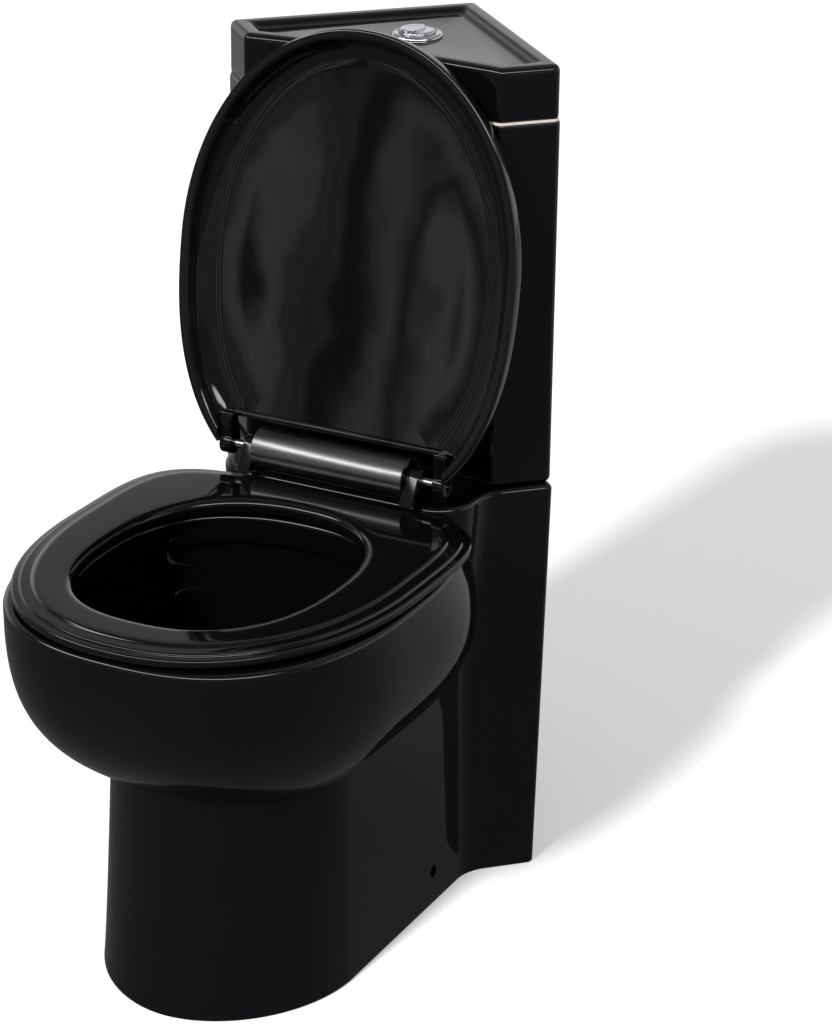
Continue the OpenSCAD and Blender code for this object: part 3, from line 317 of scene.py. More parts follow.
def egg_ring(size, grow, squares, middle_y, z, count):
    """A closed egg at height z: its width, front and rear lengths, grown all round, and how
    square its front and its rear are."""
    width, front, rear = size[0] + 2 * grow, size[1] + grow, size[2] + grow
    t = np.radians(np.linspace(-90, 90, 1601))
    power = np.where(t < 0, 2 / squares[0], 2 / squares[1])
    x = width / 2 * np.abs(np.cos(t)) ** power
    y = middle_y + np.where(t < 0, front, rear) * np.sign(t) * np.abs(np.sin(t)) ** power
    return mirrored_ring(spread(np.stack([x, y], 1), count), z)


def share(value, first, last):
    """How far a value has come from the first to the last, from 0 to 1."""
    return min(max((value - first) / (last - first), 0), 1)


def arc(centre, radius, first, last, steps):
    """Plan points of an arc between two angles in degrees."""
    return [(centre[0] + radius * math.cos(math.radians(a)),
             centre[1] + radius * math.sin(math.radians(a)))
            for a in np.linspace(first, last, steps)]


def along_walls(front, side, back):
    """An outline that runs on from its front round the side corner and along the wall to the
    back corner. Points close to each corner keep the flats between them flat."""
    near = 1.5
    return [*front, np.add(front[-1], near), np.subtract(side[0], near), *side,
            np.add(side[-1], (-near, near)), np.add(back[0], (near, -near)), *back]


ROOT2 = math.sqrt(2)
LEDGE_Z, RIM_Z = box_mm("pan")[1][2], 381
CHINA, DECK = 11, 14
# the rear box is drawn from the point where its two faces along the walls would meet
REAR_Y, BACK_R = 337, 8
BOX_W, SIDE_R = 346, 7
APEX_Y = REAR_Y + BACK_R * (ROOT2 - 1)
BOX_HALF = BOX_W / 2 + SIDE_R * (ROOT2 - 1)
BACK_LEAN = 13
# the foot at the floor, its waist and the hinge deck above it
BOWL_Y = -119
FOOT_HALF, FOOT_NOSE, FOOT_SQUARE = 121, 138, 1.9
WAIST_Z, WAIST_IN, WAIST_BACK = 215, 4, 32
DECK_OUT, DECK_Y, DECK_R = 12, 56.5, 38
DECK_FROM, DECK_FULL = 300, 330
FILLET_R = 44


def column_ring(z, inset=0.0, fine=44):
    """The outline of foot, deck and rear box at height z, moved in by inset."""
    ease = share(z, 0, WAIST_Z) ** 0.8
    half = FOOT_HALF - WAIST_IN * ease + DECK_OUT * share(z, WAIST_Z, RIM_Z) - inset
    nose = FOOT_NOSE - WAIST_BACK * ease - inset
    t = np.radians(np.linspace(-90, 0, 400))
    foot = spread(np.stack([half * np.cos(t) ** (2 / FOOT_SQUARE),
                            BOWL_Y - nose * np.abs(np.sin(t)) ** (2 / FOOT_SQUARE)], 1), fine)
    deck_y, round_r = DECK_Y + inset, max(DECK_R - inset, 2)
    deck = spread([(0, deck_y), *arc((half - round_r, deck_y + round_r), round_r, -90, 0, 12)],
                  fine)
    mix = share(z, DECK_FROM, DECK_FULL)
    line = list(foot * (1 - mix) + deck * mix)
    fillet = FILLET_R + inset
    facet = APEX_Y - 2 * BOX_HALF + inset * ROOT2
    start = half + facet - fillet * math.tan(math.radians(22.5))
    line += [line[-1] + (0, 2), (half, start - 2)]
    line += [(half + fillet * (1 - math.cos(a)), start + fillet * math.sin(a))
             for a in np.radians(np.linspace(0, 45, 9))]
    away = BACK_LEAN * (1 - z / LEDGE_Z)
    side_x, side_y = BOX_HALF - away / 2 - inset * ROOT2, APEX_Y - BOX_HALF - away / 2
    side_r, back_r = max(SIDE_R - inset, 1.5), max(BACK_R - inset, 2)
    side = arc((side_x - side_r * ROOT2, side_y), side_r, -45, 45, 7)
    back = arc((0, APEX_Y - away - inset * ROOT2 - back_r * ROOT2), back_r, 45, 90, 5)
    return mirrored_ring(along_walls(line, side, back), z)


def rounding(radius, steps):
    """Pairs of inset and drop that turn a wall over into a flat top."""
    return [(radius * (1 - math.cos(a)), radius * (1 - math.sin(a)))
            for a in np.radians(np.linspace(0, 90, steps))]


# the bowl ends a little above its lowest point, where its outline still has some size
DEEPEST = 0.985
BOWL_BASE, BOWL_SIZE, BOWL_SQUARES = 186, (356, 216, 235), (2.45, 2.5)


def dish_ring(z, top, base, size, grow, squares, count):
    """A dish's outline at height z: its width, front and rear draw in at their own rates, and
    its rear grows squarer towards the bottom."""
    t = min(share(z, top, base), DEEPEST)
    size = [(part + sides * grow) * (1 - t ** fall) ** (1 / turn)
            for part, sides, fall, turn in zip(size, (2, 1, 1), (3, 2.9, 4), (2.5, 1.7, 4))]
    return egg_ring(size, 0, (squares[0], squares[1] + 1.5 * min(t / 0.6, 1)), BOWL_Y, z, count)


def bowl_ring(z, inset=0.0, base=BOWL_BASE, count=121):
    """The bowl's outer outline at height z, moved in by inset."""
    return dish_ring(z, RIM_Z, base, BOWL_SIZE, -inset, BOWL_SQUARES, count)


def bowl_heights(top, base, count):
    """Heights that lie closer together towards the bottom of a bowl."""
    return [top - (top - base) * DEEPEST * math.sin(a)
            for a in np.linspace(math.pi / 2, 0.12, count)]


foot_heights = [3, 6, 10, 16, 24, 34, 46, 60, 76, 94, 114, 136, 160, 185, 215, 245, 275,
                300, 315, 330, 350, 370, 386]
outside = rings_up("pan", [column_ring(z, inset) for z, inset in ((0, 2.5), (0.5, 1.1), (1.4, 0.3))]
                   + [column_ring(z) for z in foot_heights]
                   + [column_ring(LEDGE_Z - drop, inset) for inset, drop in rounding(5, 7)]
                   + [column_ring(LEDGE_Z, 7)])
bowl = rings_up("bowl", [bowl_ring(z) for z in bowl_heights(RIM_Z - 8, BOWL_BASE, 44)]
                + [egg_ring(BOWL_SIZE, -inset, BOWL_SQUARES, BOWL_Y, RIM_Z - drop, 121)
                   for inset, drop in rounding(6, 8) + [(8, 0)]])
pan = combine(outside, bowl, "UNION")

# the hollow under the rim and inside the foot and the box, open behind
hollow = rings_up("hollow", [column_ring(z, CHINA, 24)
                             for z in (-5, 30, 76, 136, 215, 300, 330, LEDGE_Z - DECK)])
low = BOWL_BASE + CHINA
hollow = combine(hollow, rings_up("hollow bowl", [
    bowl_ring(z, CHINA, base=low, count=61) for z in bowl_heights(RIM_Z - DECK, low, 16)]), "UNION")
hollow = combine(hollow, block((-105, 173, -5), (105, 420, 322), 14), "UNION")
pan = combine(pan, hollow)

# the basin: the shell that hangs under the rim, and its cavity with a hollow flushing rim
MOUTH, MOUTH_SQUARES = (244, 158, 122), (2.45, 2.3)
BASIN_BASE, BASIN_TOP = 182, 341


def basin_ring(z, out, under=0.0, count=101):
    """The basin's outline at height z, moved out by a wall, and swelling out under the rim."""
    base = BASIN_BASE - out
    swell = out + under * max(1 - min(share(z, BASIN_TOP, base), DEEPEST) / 0.25, 0)
    return dish_ring(z, BASIN_TOP, base, MOUTH, swell, MOUTH_SQUARES, count)


shell = rings_up("shell", [basin_ring(z, CHINA, 10, 61)
                           for z in (*bowl_heights(BASIN_TOP, BASIN_BASE - CHINA, 20),
                                     BASIN_TOP, RIM_Z - 1)])
inner_column = rings_up("inner column", [column_ring(z, 1, 24)
                                         for z in (1, 76, 215, 300, 330, 379)])
inner_bowl = rings_up("inner bowl", [bowl_ring(z, 1, base=BOWL_BASE + 1, count=61)
                                     for z in bowl_heights(RIM_Z - 2, BOWL_BASE + 1, 20)])
inside_of_pan = combine(inner_column, inner_bowl, "UNION")
pan = combine(pan, combine(shell, inside_of_pan, "INTERSECT"), "UNION")

# the trap: a tube that falls from the basin, rises and ends in the outlet spigot
trap_line = [(-117, 208), (-105, 158), (-74, 108), (-29, 90), (16, 104), (53, 150), (89, 196),
             (141, 186), (159, 180)]
TRAP_R, TRAP_BORE = 39, 30


def trap_rings(radius, sides=32, parts=5):
    """Rings across a smooth curve through the points of the trap's line."""
    points = np.array([trap_line[0], *trap_line, trap_line[-1]], float)
    line = []
    for i in range(1, len(points) - 2):
        a, b, c, d = points[i - 1:i + 3]
        line += [0.5 * (2 * b + (c - a) * t + (2 * a - 5 * b + 4 * c - d) * t * t
                        + (3 * b - a - 3 * c + d) * t ** 3) for t in np.arange(parts) / parts]
    line = np.array(line + [points[-1]])
    slope = np.gradient(line, axis=0)
    slope /= np.linalg.norm(slope, axis=1)[:, None]
    turns = np.radians(np.arange(sides) * 360 / sides)
    return [np.stack([radius * np.cos(turns), p[0] - s[1] * radius * np.sin(turns),
                      p[1] + s[0] * radius * np.sin(turns)], 1) for p, s in zip(line, slope)]


SPIGOT_Z, SPIGOT_R, SPIGOT_BORE, SPIGOT_L = 180, 51, 40, 92
pan = combine(pan, rings_up("trap", trap_rings(TRAP_R)), "UNION")
pan = combine(pan, rod((0, 151, SPIGOT_Z), SPIGOT_R, SPIGOT_L, "Y", 96), "UNION")

# the flush duct: from the boss under the cistern's outlet to the hollow rim
FLUSH_Y = sum(corner[1] for corner in box_mm("flush_valve_nut")) / 2
INLET_R, GASKET_R, BOSS_R = 31, 52, 61
DUCT_HALF, DUCT_LOW, DUCT_HIGH, DUCT_WALL = 30, 334, 368, 8
duct_front, duct_rear = 4, FLUSH_Y + INLET_R
# near the basin the duct rises and is shallower, so its mouth stays above the basin's rim
rise_from, rise_to, rise_z = 30, 50, 354
pan = combine(pan, block((-DUCT_HALF - DUCT_WALL, duct_front, DUCT_LOW - DUCT_WALL),
                         (DUCT_HALF + DUCT_WALL, duct_rear + DUCT_WALL, DUCT_HIGH + DUCT_WALL), 6),
              "UNION")
pan = combine(pan, rod((0, FLUSH_Y, rise_z), BOSS_R, LEDGE_Z - 1 - rise_z, sides=96), "UNION")
cavity = rings_up("cavity", [basin_ring(z, 0, 9) for z in bowl_heights(BASIN_TOP, BASIN_BASE, 36)]
                  + [egg_ring(MOUTH, out, MOUTH_SQUARES, BOWL_Y, z, 101) for z, out in (
                      (348, 9), (350, 8.4), (351.2, 7), (351.6, 5), (351.2, 2.5), (352, 0.8),
                      (353.6, 0), (374, 0), (375.2, 0.15), (376.8, 0.8), (378.4, 2.1),
                      (379.8, 3.9), (380.7, 6), (381, 8.5), (384, 9))])
pan = combine(pan, cavity)
pan = combine(pan, block((-DUCT_HALF, rise_from, DUCT_LOW), (DUCT_HALF, duct_rear, DUCT_HIGH), 4))
pan = combine(pan, block((-DUCT_HALF, duct_front, rise_z), (DUCT_HALF, rise_to, DUCT_HIGH), 2))
pan = combine(pan, rings_up("trap bore", trap_rings(TRAP_BORE)))
pan = combine(pan, rod((0, 157, SPIGOT_Z), SPIGOT_BORE, SPIGOT_L, "Y", 96))
pan = combine(pan, rod((0, FLUSH_Y, DUCT_HIGH), GASKET_R, 30, sides=96))
pan = combine(pan, rod((0, FLUSH_Y, 335), INLET_R, 60))

# the bolt holes in ledge and deck, the fill valve's hole and the two side fixing holes
COUPLING_X, COUPLING_Y, COUPLING_HOLE_R = 58, 170.5, 6.5
HINGE_BOLT_X, HINGE_BOLT_Y, HINGE_HOLE_R = 55, 75, 5.5
FILL_X, FILL_Y, FILL_HOLE_R = -106, 173.5, 29
FIXING_Y, FIXING_Z, FIXING_R = 40, 34, 6
hole_low, hole_l = 376, 24
for side in (-1, 1):
    coupling, hinge_bolt = (side * COUPLING_X, COUPLING_Y), (side * HINGE_BOLT_X, HINGE_BOLT_Y)
    pan = combine(pan, rod((*coupling, hole_low), COUPLING_HOLE_R, hole_l, sides=32))
    pan = combine(pan, rod((*hinge_bolt, hole_low), HINGE_HOLE_R, hole_l, sides=32))
pan = combine(pan, rod((FILL_X, FILL_Y, hole_low), FILL_HOLE_R, hole_l))
pan = combine(pan, rod((-250, FIXING_Y, FIXING_Z), FIXING_R, 500, "X", 32))


def skin_for(name):
    """A new material, its node tree and the place on the piece that its patterns follow."""
    made = bpy.data.materials.new(name)
    made.use_nodes = True
    return made, made.node_tree, add(made.node_tree, "ShaderNodeTexCoord").outputs["Object"]


def wear(made, tone, relief, shine=None, **settings):
    """Joins colour, relief and gloss to a material's skin, and sets the inputs that are even."""
    tree = made.node_tree
    skin = tree.nodes["Principled BSDF"]
    for name, value in settings.items():
        skin.inputs[name].default_value = value
    tree.links.new(tone.outputs[2], skin.inputs["Base Color"])
    tree.links.new(relief.outputs[0], skin.inputs["Normal"])
    if shine:
        tree.links.new(shine.outputs[0], skin.inputs["Roughness"])
    return made


def glazed(name, dark, pale, roughness, wave, ripple):
    """Black glaze over china, or a polished moulding: deep, glassy, with faint long waves
    that bend its reflections, and a very slight orange peel."""
    made, tree, place = skin_for(name)
    broad = add(tree, "ShaderNodeTexNoise", {"Scale": 9.0, "Detail": 1.5, "Roughness": 0.4},
                {"Vector": place})
    close = add(tree, "ShaderNodeTexNoise", {"Scale": 160.0, "Detail": 1.0}, {"Vector": place})
    tone = add(tree, "ShaderNodeMix", {"data_type": "RGBA", 6: linear(dark), 7: linear(pale)},
               {0: broad.outputs["Fac"]})
    shine = add(tree, "ShaderNodeMapRange", {"To Min": roughness * 0.8, "To Max": roughness * 1.25},
                {"Value": close.outputs["Fac"]})
    slow = add(tree, "ShaderNodeBump", {"Strength": 1.0, "Distance": wave},
               {"Height": broad.outputs["Fac"]})
    quick = add(tree, "ShaderNodeBump", {"Strength": 1.0, "Distance": ripple},
                {"Height": close.outputs["Fac"], "Normal": slow.outputs[0]})
    return wear(made, tone, quick, shine, IOR=1.5)


# black glaze: almost no colour of its own, so it shows what it mirrors
black_glaze = glazed("black glazed vitreous china", "#07070a", "#0b0b0e", 0.04, 0.0001, 0.000006)

# bare clay: matt and cream, a little uneven in tone, with a fine grit
bare_clay, tree, place = skin_for("bare vitreous china")
grit = add(tree, "ShaderNodeTexNoise", {"Scale": 900.0, "Detail": 3.0}, {"Vector": place})
cloud = add(tree, "ShaderNodeTexNoise", {"Scale": 30.0, "Detail": 2.0}, {"Vector": place})
tone = add(tree, "ShaderNodeMix", {"data_type": "RGBA", 6: linear("#e2cdbd"), 7: linear("#f6eee2")},
           {0: cloud.outputs["Fac"]})
rub = add(tree, "ShaderNodeBump", {"Distance": 0.00008}, {"Height": grit.outputs["Fac"]})
wear(bare_clay, tone, rub, Roughness=0.8)


def dress(piece, body, slot, *materials, replaces=()):
    """Gives a finished piece its materials and its body, and hides the nodes it stands for. Its
    slot is not used.
    """
    piece.data.materials.clear()
    for material in materials:
        piece.data.materials.append(material)
    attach(piece, body)
    if replaces:
        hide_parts(*replaces)


# the foot stands on a thin unglazed edge
floor_edge_z = 0.3
smooth(pan)
dress(pan, "china", "black_china", black_glaze, bare_clay, replaces=["pan"])
for face in pan.data.polygons:
    face.material_index = 1 if face.center.z < floor_edge_z * MM else 0


# ---------------------------------------------------------------- cistern
# Five-sided china tank on the ledge. Two sides lie along the walls, two stand across the
# corner, and the front is slightly hollow. Its top edge is left unglazed under the lid.
TANK_W, TANK_DEPTH, DIP = 337, 212.8, 8
TANK_HALF = TANK_W / 2 + SIDE_R * (ROOT2 - 1)
front_half = 2 * TANK_HALF - TANK_DEPTH
hollow_r = (front_half ** 2 + DIP ** 2) / (2 * DIP)
hollow_y = APEX_Y - TANK_DEPTH + DIP - hollow_r


def tank_ring(z, inset=0.0, corner=7.0, least=1.5):
    """The five-sided outline at height z, moved in by inset, with rounded corners."""
    facet = APEX_Y - 2 * TANK_HALF + inset * ROOT2
    round_r = max(corner - inset, least)
    big, line_y = hollow_r + inset + round_r, facet + round_r * ROOT2 - hollow_y
    x = (-line_y + math.sqrt(2 * big ** 2 - line_y ** 2)) / 2
    middle = (x, x + line_y + hollow_y)
    lean = math.degrees(math.atan2(hollow_y - middle[1], -middle[0]))
    front = arc(middle, round_r, lean, -45, 8)
    sweep = math.degrees(math.atan2(front[0][1] - hollow_y, front[0][0]))
    line = arc((0, hollow_y), hollow_r + inset, 90, sweep, 22)[:-1]
    line += [*arc((0, hollow_y), hollow_r + inset, sweep + 0.07, sweep, 2)[:1], *front]
    side_x = TANK_HALF - inset * ROOT2
    side = arc((side_x - round_r * ROOT2, APEX_Y - TANK_HALF), round_r, -45, 45, 8)
    back_r = max(corner + 1 - inset, least + 0.5)
    back = arc((0, APEX_Y - (inset + back_r) * ROOT2), back_r, 45, 90, 6)
    return mirrored_ring(along_walls(line, side, back), z)


TANK_TOP, TANK_IN, BAND = box_mm("cistern")[1][2], 406, 2.1
glaze_end = TANK_TOP - BAND
cistern = rings_up("cistern", [tank_ring(LEDGE_Z, 8)]
                   + [tank_ring(LEDGE_Z + drop, inset) for inset, drop in rounding(6, 8)[::-1]]
                   + [tank_ring(z, inset) for z, inset in (
                       (LEDGE_Z + 8, 0), (480, 0), (570, 0), (660, 0), (glaze_end - 3, 0),
                       (glaze_end - 1.3, 0.1), (glaze_end - 0.5, 0.4), (glaze_end, 1),
                       (TANK_TOP - 0.5, 1), (TANK_TOP, 1.5), (TANK_TOP, 8), (TANK_TOP - 1, 9),
                       (570, 9), (TANK_IN + 6, 9), (TANK_IN + 1.8, 10.8), (TANK_IN, 15))])
below, through, outlet_r, shank_r = LEDGE_Z - 1, 20, 32, 11.675
for side in (-1, 1):
    cistern = combine(cistern, rod((side * COUPLING_X, COUPLING_Y, below), COUPLING_HOLE_R,
                                   through, sides=32))
cistern = combine(cistern, rod((0, FLUSH_Y, below), outlet_r, through))
cistern = combine(cistern, rod((FILL_X, FILL_Y, below), shank_r, through, sides=32))
smooth(cistern)
dress(cistern, "china", "black_china", black_glaze, bare_clay, replaces=["cistern"])
# bare all round but for the tank's left side, where the photo shows no pale line
bare_from_x = -100
for face in cistern.data.polygons:
    bare = face.center.z > glaze_end * MM and face.center.x > bare_from_x * MM
    face.material_index = 1 if bare else 0


# ---------------------------------------------------------------- cistern lid
# A loose china lid: a raised, softly rounded rim round a sunken tray, and a rib below that
# keeps it in the tank. The flush button is clamped in the hole in its tray.
LID_TOP, TRAY = box_mm("cistern_lid")[1][2], 784
LID_LOW = TANK_TOP
# inset, height and corner radius, from the tray over the rim and down to the rib
lid_outline = (
    [(25.5, TRAY, 14), (22.8, TRAY + 0.35, 14), (20.7, TRAY + 1.3, 13), (19.3, TRAY + 2.6, 12),
     (18.3, TRAY + 4.0, 11), (17.2, TRAY + 5.1, 10), (15.8, LID_TOP - 0.3, 9),
     (14, LID_TOP - 0.05, 8), (12, LID_TOP, 8), (9, LID_TOP, 8)]
    + [(1 + inset, LID_TOP - drop, 8) for inset, drop in rounding(6, 9)[::-1]]
    + [(1, LID_TOP - 8, 8), (1, 765, 8), (1, LID_LOW + 4, 8), (1.1, LID_LOW + 2.4, 8),
       (1.5, LID_LOW + 1, 8), (2.4, LID_LOW + 0.2, 8), (3.6, LID_LOW, 8), (10, LID_LOW, 8),
       (11, LID_LOW - 1, 8), (11, LID_LOW - 7, 8), (12, LID_LOW - 8, 8), (16, LID_LOW - 8, 8),
       (17, LID_LOW - 7, 8), (17, 768, 8), (20, 774, 8), (26, 775, 8)])
lid = rings_up("cistern_lid", [tank_ring(z, inset, corner, 2.0 if inset < 12 else corner - 6)
                               for inset, z, corner in lid_outline])
BUTTON_Y, BUTTON_HOLE_R = FLUSH_Y - 21.5, 21
lid = combine(lid, rod((0, BUTTON_Y, LID_LOW), BUTTON_HOLE_R, 60))
smooth(lid)
dress(lid, "china", "black_china", black_glaze, replaces=["cistern_lid"])


# ---------------------------------------------------------------- flush button
# Chromed ABS: a shallow bezel with a threaded neck through the lid, and a round button
# split by a curved gap into the full flush and the smaller half flush.
def metal(name, base, shade, roughness, spread_by=0.3, stretch=(1, 1, 1), grain=0.0, scale=60.0):
    """A metal skin with faint smears and, where it is brushed, fine lines along one axis."""
    made, tree, place = skin_for(name)
    sized = add(tree, "ShaderNodeMapping", {"Scale": stretch}, {"Vector": place})
    lines = add(tree, "ShaderNodeTexNoise", {"Scale": scale, "Detail": 4.0, "Roughness": 0.6},
                {"Vector": sized.outputs[0]})
    tone = add(tree, "ShaderNodeMix", {"data_type": "RGBA", 6: linear(shade), 7: linear(base)},
               {0: lines.outputs["Fac"]})
    shine = add(tree, "ShaderNodeMapRange", {
        "To Min": roughness * (1 - spread_by), "To Max": roughness * (1 + spread_by)},
        {"Value": lines.outputs["Fac"]})
    rub = add(tree, "ShaderNodeBump", {"Distance": grain}, {"Height": lines.outputs["Fac"]})
    return wear(made, tone, rub, shine, Metallic=1.0)


chrome = metal("chromed ABS", "#dfe0e4", "#c9cacf", 0.09)


def spun(name, outline, centre, sides=96):
    """A closed outline of radius and height, in millimetres, spun about an upright axis."""
    deselect()
    bpy.ops.mesh.primitive_circle_add(vertices=len(outline), fill_type="NOTHING",
                                      enter_editmode=True)
    piece = bpy.context.object
    piece.name = name
    mesh = bmesh.from_edit_mesh(piece.data)
    for vert, (radius, z) in zip(mesh.verts, outline):
        vert.co = Vector((centre[0] + radius, centre[1], z)) * MM
    bmesh.update_edit_mesh(piece.data)
    bpy.ops.mesh.spin(steps=sides, angle=2 * math.pi,
                      center=Vector((centre[0], centre[1], 0)) * MM, axis=(0, 0, 1))
    bpy.ops.mesh.select_all(action="SELECT")
    bpy.ops.mesh.remove_doubles(threshold=0.001 * MM)
    bpy.ops.mesh.normals_make_consistent(inside=False)
    bpy.ops.object.mode_set(mode="OBJECT")
    return piece


bezel = spun("button_bezel", [
    (16.9, 756), (16.9, 785.6), (17.3, 786.3), (18.4, 786.8), (20.2, 787.3), (21.3, 787.35),
    (22.3, 787.0), (23.3, 786.1), (23.9, 785.0), (24, 784.3), (23.8, TRAY), (20, TRAY),
    (20, 753), (19.4, 752.6), (2, 752.6), (2, 756)], (0, BUTTON_Y))
# the two holes in the floor of its neck guide the push rods
ROD_X, ROD_Y, ROD_HOLE_R = 8, BUTTON_Y - 9, 3.05
for side in (-1, 1):
    bezel = combine(bezel, rod((side * ROD_X, ROD_Y, 750), ROD_HOLE_R, 8, sides=24))
smooth(bezel)
dress(bezel, "china", "button_chrome", chrome, replaces=["button_bezel"])


def round_edges(piece, width, angle):
    """Rounds the edges of a piece that are sharper than the angle."""
    deselect()
    bpy.context.view_layer.objects.active = piece
    edge = piece.modifiers.new("edge", "BEVEL")
    edge.width, edge.segments, edge.angle_limit = width * MM, 3, math.radians(angle)
    bpy.ops.object.modifier_apply(modifier=edge.name)


# both buttons are cut from one round cap, by a cylinder whose edge is the gap between them
SPLIT_X, SPLIT_R, SPLIT_GAP = 5.5, 20.46, 0.3
for name, body, part, gap in (("button_full", "full_button", "INTERSECT", SPLIT_GAP / 2),
                              ("button_half", "half_button", "DIFFERENCE", -SPLIT_GAP / 2)):
    top, foot_z = box_mm(name)[1][2], box_mm(name)[0][2]
    button = spun(name, [(0, top - 0.35), (6, top - 0.3), (11, top - 0.1), (14, top),
                         (15.3, top - 0.15), (16.1, top - 0.7), (16.45, top - 1.5),
                         (16.5, top - 2.4), (16.5, foot_z + 0.4), (16.1, foot_z),
                         (0, foot_z)], (0, BUTTON_Y))
    half = rod((SPLIT_X - SPLIT_R, BUTTON_Y, 770), SPLIT_R - gap, 40, sides=192)
    button = combine(button, half, part)
    round_edges(button, 0.5, 50)
    smooth(button)
    dress(button, body, "button_chrome", chrome, replaces=[name])


# ---------------------------------------------------------------- seat ring
# Compression-moulded thermoset, polished black: a lower flange, a narrow terrace and a broad
# top round the oval hole. A notch at the rear leaves room for the hinge barrel.
SEAT_Z, SEAT_Y, HOLE_Y = box_mm("seat_ring")[0][2], -107, -139


def seat_ring_outline(inset, z):
    """The ring's outer outline, moved in by inset, at a height above its underside."""
    return egg_ring((358, 230, 162), -inset, (2.2, 4.5), SEAT_Y, SEAT_Z + z, 141)


def seat_hole_outline(out, z):
    """The outline of its hole, moved out, at a height above its underside."""
    return egg_ring((226, 144, 134), out, (2.4, 2.3), HOLE_Y, SEAT_Z + z, 141)


ring = rings_up(
    "seat_ring",
    [seat_ring_outline(inset, z) for inset, z in (
        (14, 0), (4, 0), (2.5, 0), (1.3, 0.4), (0.5, 1.3), (0.1, 2.3), (0, 3.1), (0, 5.0),
        (0.2, 6.0), (0.7, 6.9), (1.5, 7.5), (2.6, 7.8), (6.0, 7.9), (6.7, 8.1), (7.0, 8.6),
        (7.1, 9.0), (7.4, 9.6), (8.0, 10.2), (9.0, 10.5), (10.4, 10.6), (16.2, 10.8),
        (17.2, 11.0), (17.7, 11.4), (18.0, 11.9), (18.6, 12.7), (19.6, 13.4), (21.0, 13.85),
        (23.0, 14.0), (26, 14.05))]
    + [seat_hole_outline(out, z) for out, z in (
        (14, 14.05), (10, 14), (7.5, 13.9), (5.6, 13.6), (4.0, 13.0), (2.6, 12.1), (1.4, 10.8),
        (0.6, 9.4), (0.1, 7.8), (0, 6.4), (0, 2.4), (0.3, 1.2), (1, 0.4), (2.1, 0), (4, 0))],
    closed=True)
notch_half, notch_y = 76.8, 48.5
ring = combine(ring, block((-notch_half, notch_y, 380), (notch_half, 70, 405), 1.5))
smooth(ring)

# polished thermoset: as black as the glaze, and on the ring a little softer in its gloss
ring_black = glazed("polished black thermoset of the ring", "#08080a", "#0c0c0e",
                    0.06, 0.0002, 0.000003)
seat_black = glazed("polished black thermoset", "#08080a", "#0c0c0e", 0.03, 0.0004, 0.0000015)
dress(ring, "seat", "black_seat", ring_black, replaces=["seat_ring"])


# ---------------------------------------------------------------- seat cover
# A shallow moulded dish of the same thermoset with a rounded lip, cut away round the hinge
# and closed there by a straight wall. It is drawn lying closed, then swung up to its rest.
joints = {joint["name"]: joint for joint in frame["joints"]}
HINGE = Vector([round(value / MM, 3) for value in joints["cover_hinge"]["pos_m"]]) * MM
open_angle = math.radians(joints["cover_hinge"]["range_deg"][0])
open_turn = Matrix.Translation(HINGE) @ Matrix.Rotation(open_angle, 4, "X")
COVER_W, COVER_L, COVER_MID, COVER_BACK = 343, 398.514, 185, 40
# where the cover's hinge blocks begin and end along the hinge axis
COVER_BLOCK = (105.3, 117.3)


def cover_outline(inset, z):
    """The lying cover's outline, moved in by inset, with the hinge axis at y 0 and z 0."""
    return egg_ring((COVER_W, COVER_L - COVER_MID, COVER_MID + COVER_BACK), -inset,
                    (2.05, 2.45), -COVER_MID, z, 141)


# inset and height: up the outside and over the top, and the dish inside from its middle out
outer_side = [(0.4, -15.2), (0, -14.2), (0, -12), (0.2, -8), (0.6, -4), (1.3, -1), (2.4, 1.2),
              (4, 2.9), (6.5, 4.4), (10, 5.5), (15, 6.3), (24, 7), (40, 7.6), (60, 8), (90, 8.1),
              (130, 8.1), (165, 8.1)]
inner_side = [(165, 3.4), (130, 3.4), (90, 3.4), (60, 3.38), (36, 3.3), (29, 3.15), (25.5, 2.8),
              (22.5, 2.1), (19.6, 1), (17, -0.5), (14.8, -2.6), (13, -5), (11.6, -7.8),
              (10.4, -10.8), (9.5, -13.2), (8.5, -15), (7.3, -15.8)]
lip = [(5, -16), (2.6, -16), (1.3, -15.8)]
cover = rings_up("seat_cover", [cover_outline(inset, z)
                                for inset, z in inner_side + lip + outer_side])
wall_y, cover_end = -26, 12.5
cover = combine(cover, block((-COVER_BLOCK[1], wall_y, -30), (COVER_BLOCK[1], 60, 20), 1.5))
cover = combine(cover, block((-180, cover_end, -30), (180, 80, 20)))

# the wall behind the hinge barrel: low, with a lug at each end that carries a hinge block
inner_wall = rings_up("inner wall", [cover_outline(inset, z) for inset, z in (
    (3, -16), (2, -15), (2, -4), (4, 1), (8, 4), (20, 6), (60, 7))])
wall_half, wall_low, wall_high = COVER_BLOCK[1] + 4, -1.5, 9
lug_x, lug_half, lug_low = sum(COVER_BLOCK) / 2, 7, -11
behind_barrel = block((-wall_half, wall_y - 5, wall_low), (wall_half, wall_y, wall_high), 1.2)
for side in (-1, 1):
    lug = block((side * lug_x - lug_half, wall_y - 4, lug_low),
                (side * lug_x + lug_half, wall_y, wall_high), 1.2)
    behind_barrel = combine(behind_barrel, lug, "UNION")
inner_wall = combine(inner_wall, behind_barrel, "INTERSECT")
cover = combine(cover, inner_wall, "UNION")
cover.data.transform(open_turn)
smooth(cover)
dress(cover, "cover", "black_seat", seat_black, replaces=["seat_cover"])


# ---------------------------------------------------------------- hinge blocks
# Black mouldings on the hinge pins: two on the seat ring, inside, and two on the cover,
# outside them. Each is an eye round the pin with a foot that runs into its own piece.
RING_BLOCK, EYE_R = (78.8, 91.3), 5.05


